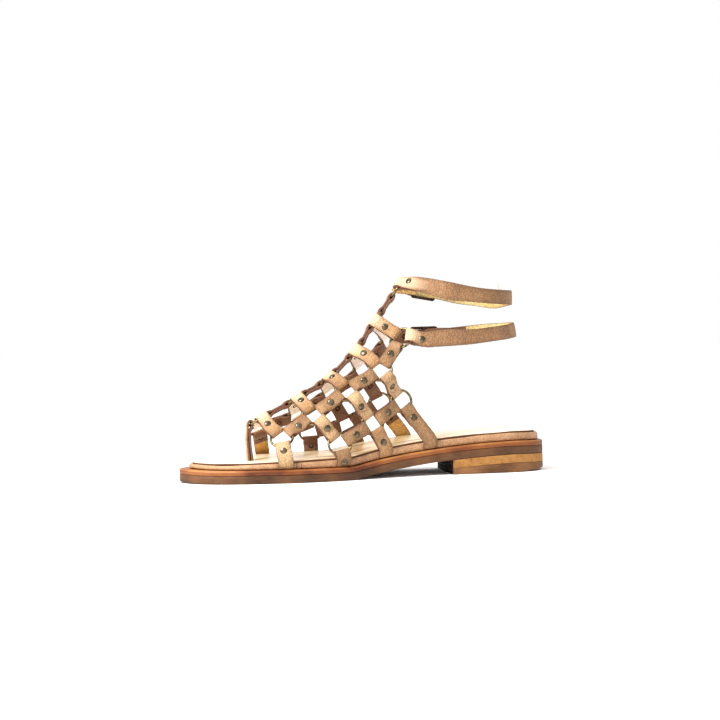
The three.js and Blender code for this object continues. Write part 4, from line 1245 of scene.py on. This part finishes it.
def rimLevel(inset, rise):
    def height(x, wave):
        level = footbedBottom(x) * (1 - rise) + footbedTop(x) * rise
        return level + waver(wave, 0.06, 38, rise * 3) * rise
    return lambda x, wave: rimInset(x) + inset + waver(wave, 0.07, 46, inset), height


rimShape = [(1.2, 0.0), (0.45, 0.08), (0.1, 0.2), (0.0, 0.38), (0.02, 0.56), (0.15, 0.72), (0.45, 0.86),
            (0.95, 0.96), (1.6, 1.0), (2.3, 0.97), (3.0, 0.93)]
solePiece("footbed", [rimLevel(*row) for row in rimShape], [rimLeather])


def coverLevel(inset, rise):
    return (lambda x, w: rimInset(x) + coverSetIn + inset + waver(w, 0.22, 31, 2),
            lambda x, w: footbedTop(x) + layerGap + rise * coverThickness + waver(w, 0.16, 27, 4))


coverShape = [(0.15, -0.1), (0.0, 0.25), (0.0, 0.7), (0.25, 0.95), (0.7, 1.0)]
solePiece("insole_cover", [coverLevel(*row) for row in coverShape], [goldFoil, rawEdge],
          [1, 1, 0, 0, 0])

# The wrap of the rim is joined just behind the first medial leg
seams = []
for seamAt in seamPlaces:
    share = shareAt(-1, seamAt)
    low, high = footbedBottom(seamAt) + 0.3, footbedTop(seamAt) - 0.5
    line = []
    for k in range(7):
        point = planPoint(-1, share, rimInset(seamAt) - 0.1 + 0.5 * (k / 6) ** 3)
        point.z = low + (high - low) * k / 6
        line.append(point)
    seams.append(wirePiece(line, seamRadius, fineSides, False, Vector((1, 0, 0))))
points, faces = joined(seams)
makePiece("rim_seam", points, faces, [darkHollow])


def liftTop(x):
    return outsoleBottom(x) - layerGap


def liftBottom(x):
    return liftTop(x) - heelLiftThickness


def topLiftTop(x):
    return liftBottom(x) - layerGap


def topLiftBottom(x):
    back = max(0.0, (x - stationX(rollStart)) / (stationX(1) - stationX(rollStart)))
    return heelRollHeight * back * back


breastShares = {side: shareAt(side, stationX(along)) for side, along in breast.items()}
# The breast walls of both heel layers take the painted shade
solePiece("heel_lift", [(even(0.15), atHeight(liftBottom)), (even(0.0), atHeight(liftBottom, 0.3)),
                        (even(0.0), atHeight(liftTop, -0.3)), (even(0.15), atHeight(liftTop, 0.12))],
          [corkBlock, breastShade], None, breastShares)
solePiece("heel_top_lift", [(even(0.6), atHeight(topLiftBottom)), (even(0.1), atHeight(topLiftBottom, 0.4)),
                            (even(0.0), atHeight(topLiftTop, -0.3)), (even(0.2), atHeight(topLiftTop, 0.1))],
          [topLift, breastShade], None, breastShares)

# Floor, light and camera
floorMesh = bpy.data.meshes.new("studio_floor")
floorMesh.from_pydata([(-3, -2.5, 0), (3, -2.5, 0), (3, 4, 0), (-3, 4, 0)], [], [(0, 1, 2, 3)])
floorMesh.materials.append(paleFloor)
floor = bpy.data.objects.new("studio_floor", floorMesh)
bpy.context.collection.objects.link(floor)

world = bpy.data.worlds.new("soft_studio")
world.use_nodes = True
background = world.node_tree.nodes["Background"]
background.inputs["Color"].default_value = (1.0, 1.0, 1.0, 1.0)
background.inputs["Strength"].default_value = 1.0
bpy.context.scene.world = world
bpy.context.scene.view_settings.view_transform = "Standard"


def softLight(name, origin, target, size, watts):
    lamp = bpy.data.lights.new(name, "AREA")
    lamp.shape = "DISK"
    lamp.size = size
    lamp.energy = watts
    holder = bpy.data.objects.new(name, lamp)
    holder.location = origin
    holder.rotation_euler = (Vector(target) - Vector(origin)).to_track_quat("-Z", "Y").to_euler()
    bpy.context.collection.objects.link(holder)


softLight("key_light", (-0.62, -0.28, 0.62), (-0.05, 0, 0.04), 0.25, 11)
softLight("top_light", (0.1, 0.1, 1.4), (0, 0, 0.05), 0.7, 3)

# The camera looks from low down, from the medial side and a little ahead
azimuth = math.radians(-14.0)
distance = 1400.0
eyeHeight = 116.15
tilt = math.radians(1.497)
pan = math.radians(-0.051)
roll = math.radians(-1.221)
focalPixels = 2028.4
pictureWidth = 720.0
sensorWidth = 36.0
forward = Vector((-math.sin(azimuth), math.cos(azimuth), 0))
sideways = Vector((math.cos(azimuth), math.sin(azimuth), 0))
aimed = forward * math.cos(pan) + sideways * math.sin(pan)
sideways = sideways * math.cos(pan) - forward * math.sin(pan)
looking = aimed * math.cos(tilt) - Z * math.sin(tilt)
upright = Z * math.cos(tilt) + aimed * math.sin(tilt)
rightwards = sideways * math.cos(roll) + upright * math.sin(roll)
upwards = upright * math.cos(roll) - sideways * math.sin(roll)
spot = (Z * eyeHeight - forward * distance + footShift) * 0.001
lens = bpy.data.cameras.new("studio_camera")
lens.sensor_width = sensorWidth
lens.lens = focalPixels * sensorWidth / pictureWidth
lens.clip_start = 0.05
camera = bpy.data.objects.new("studio_camera", lens)
turned = Matrix((rightwards, upwards, -looking)).transposed().to_4x4()
camera.matrix_world = Matrix.Translation(spot) @ turned
bpy.context.collection.objects.link(camera)
bpy.context.scene.camera = camera
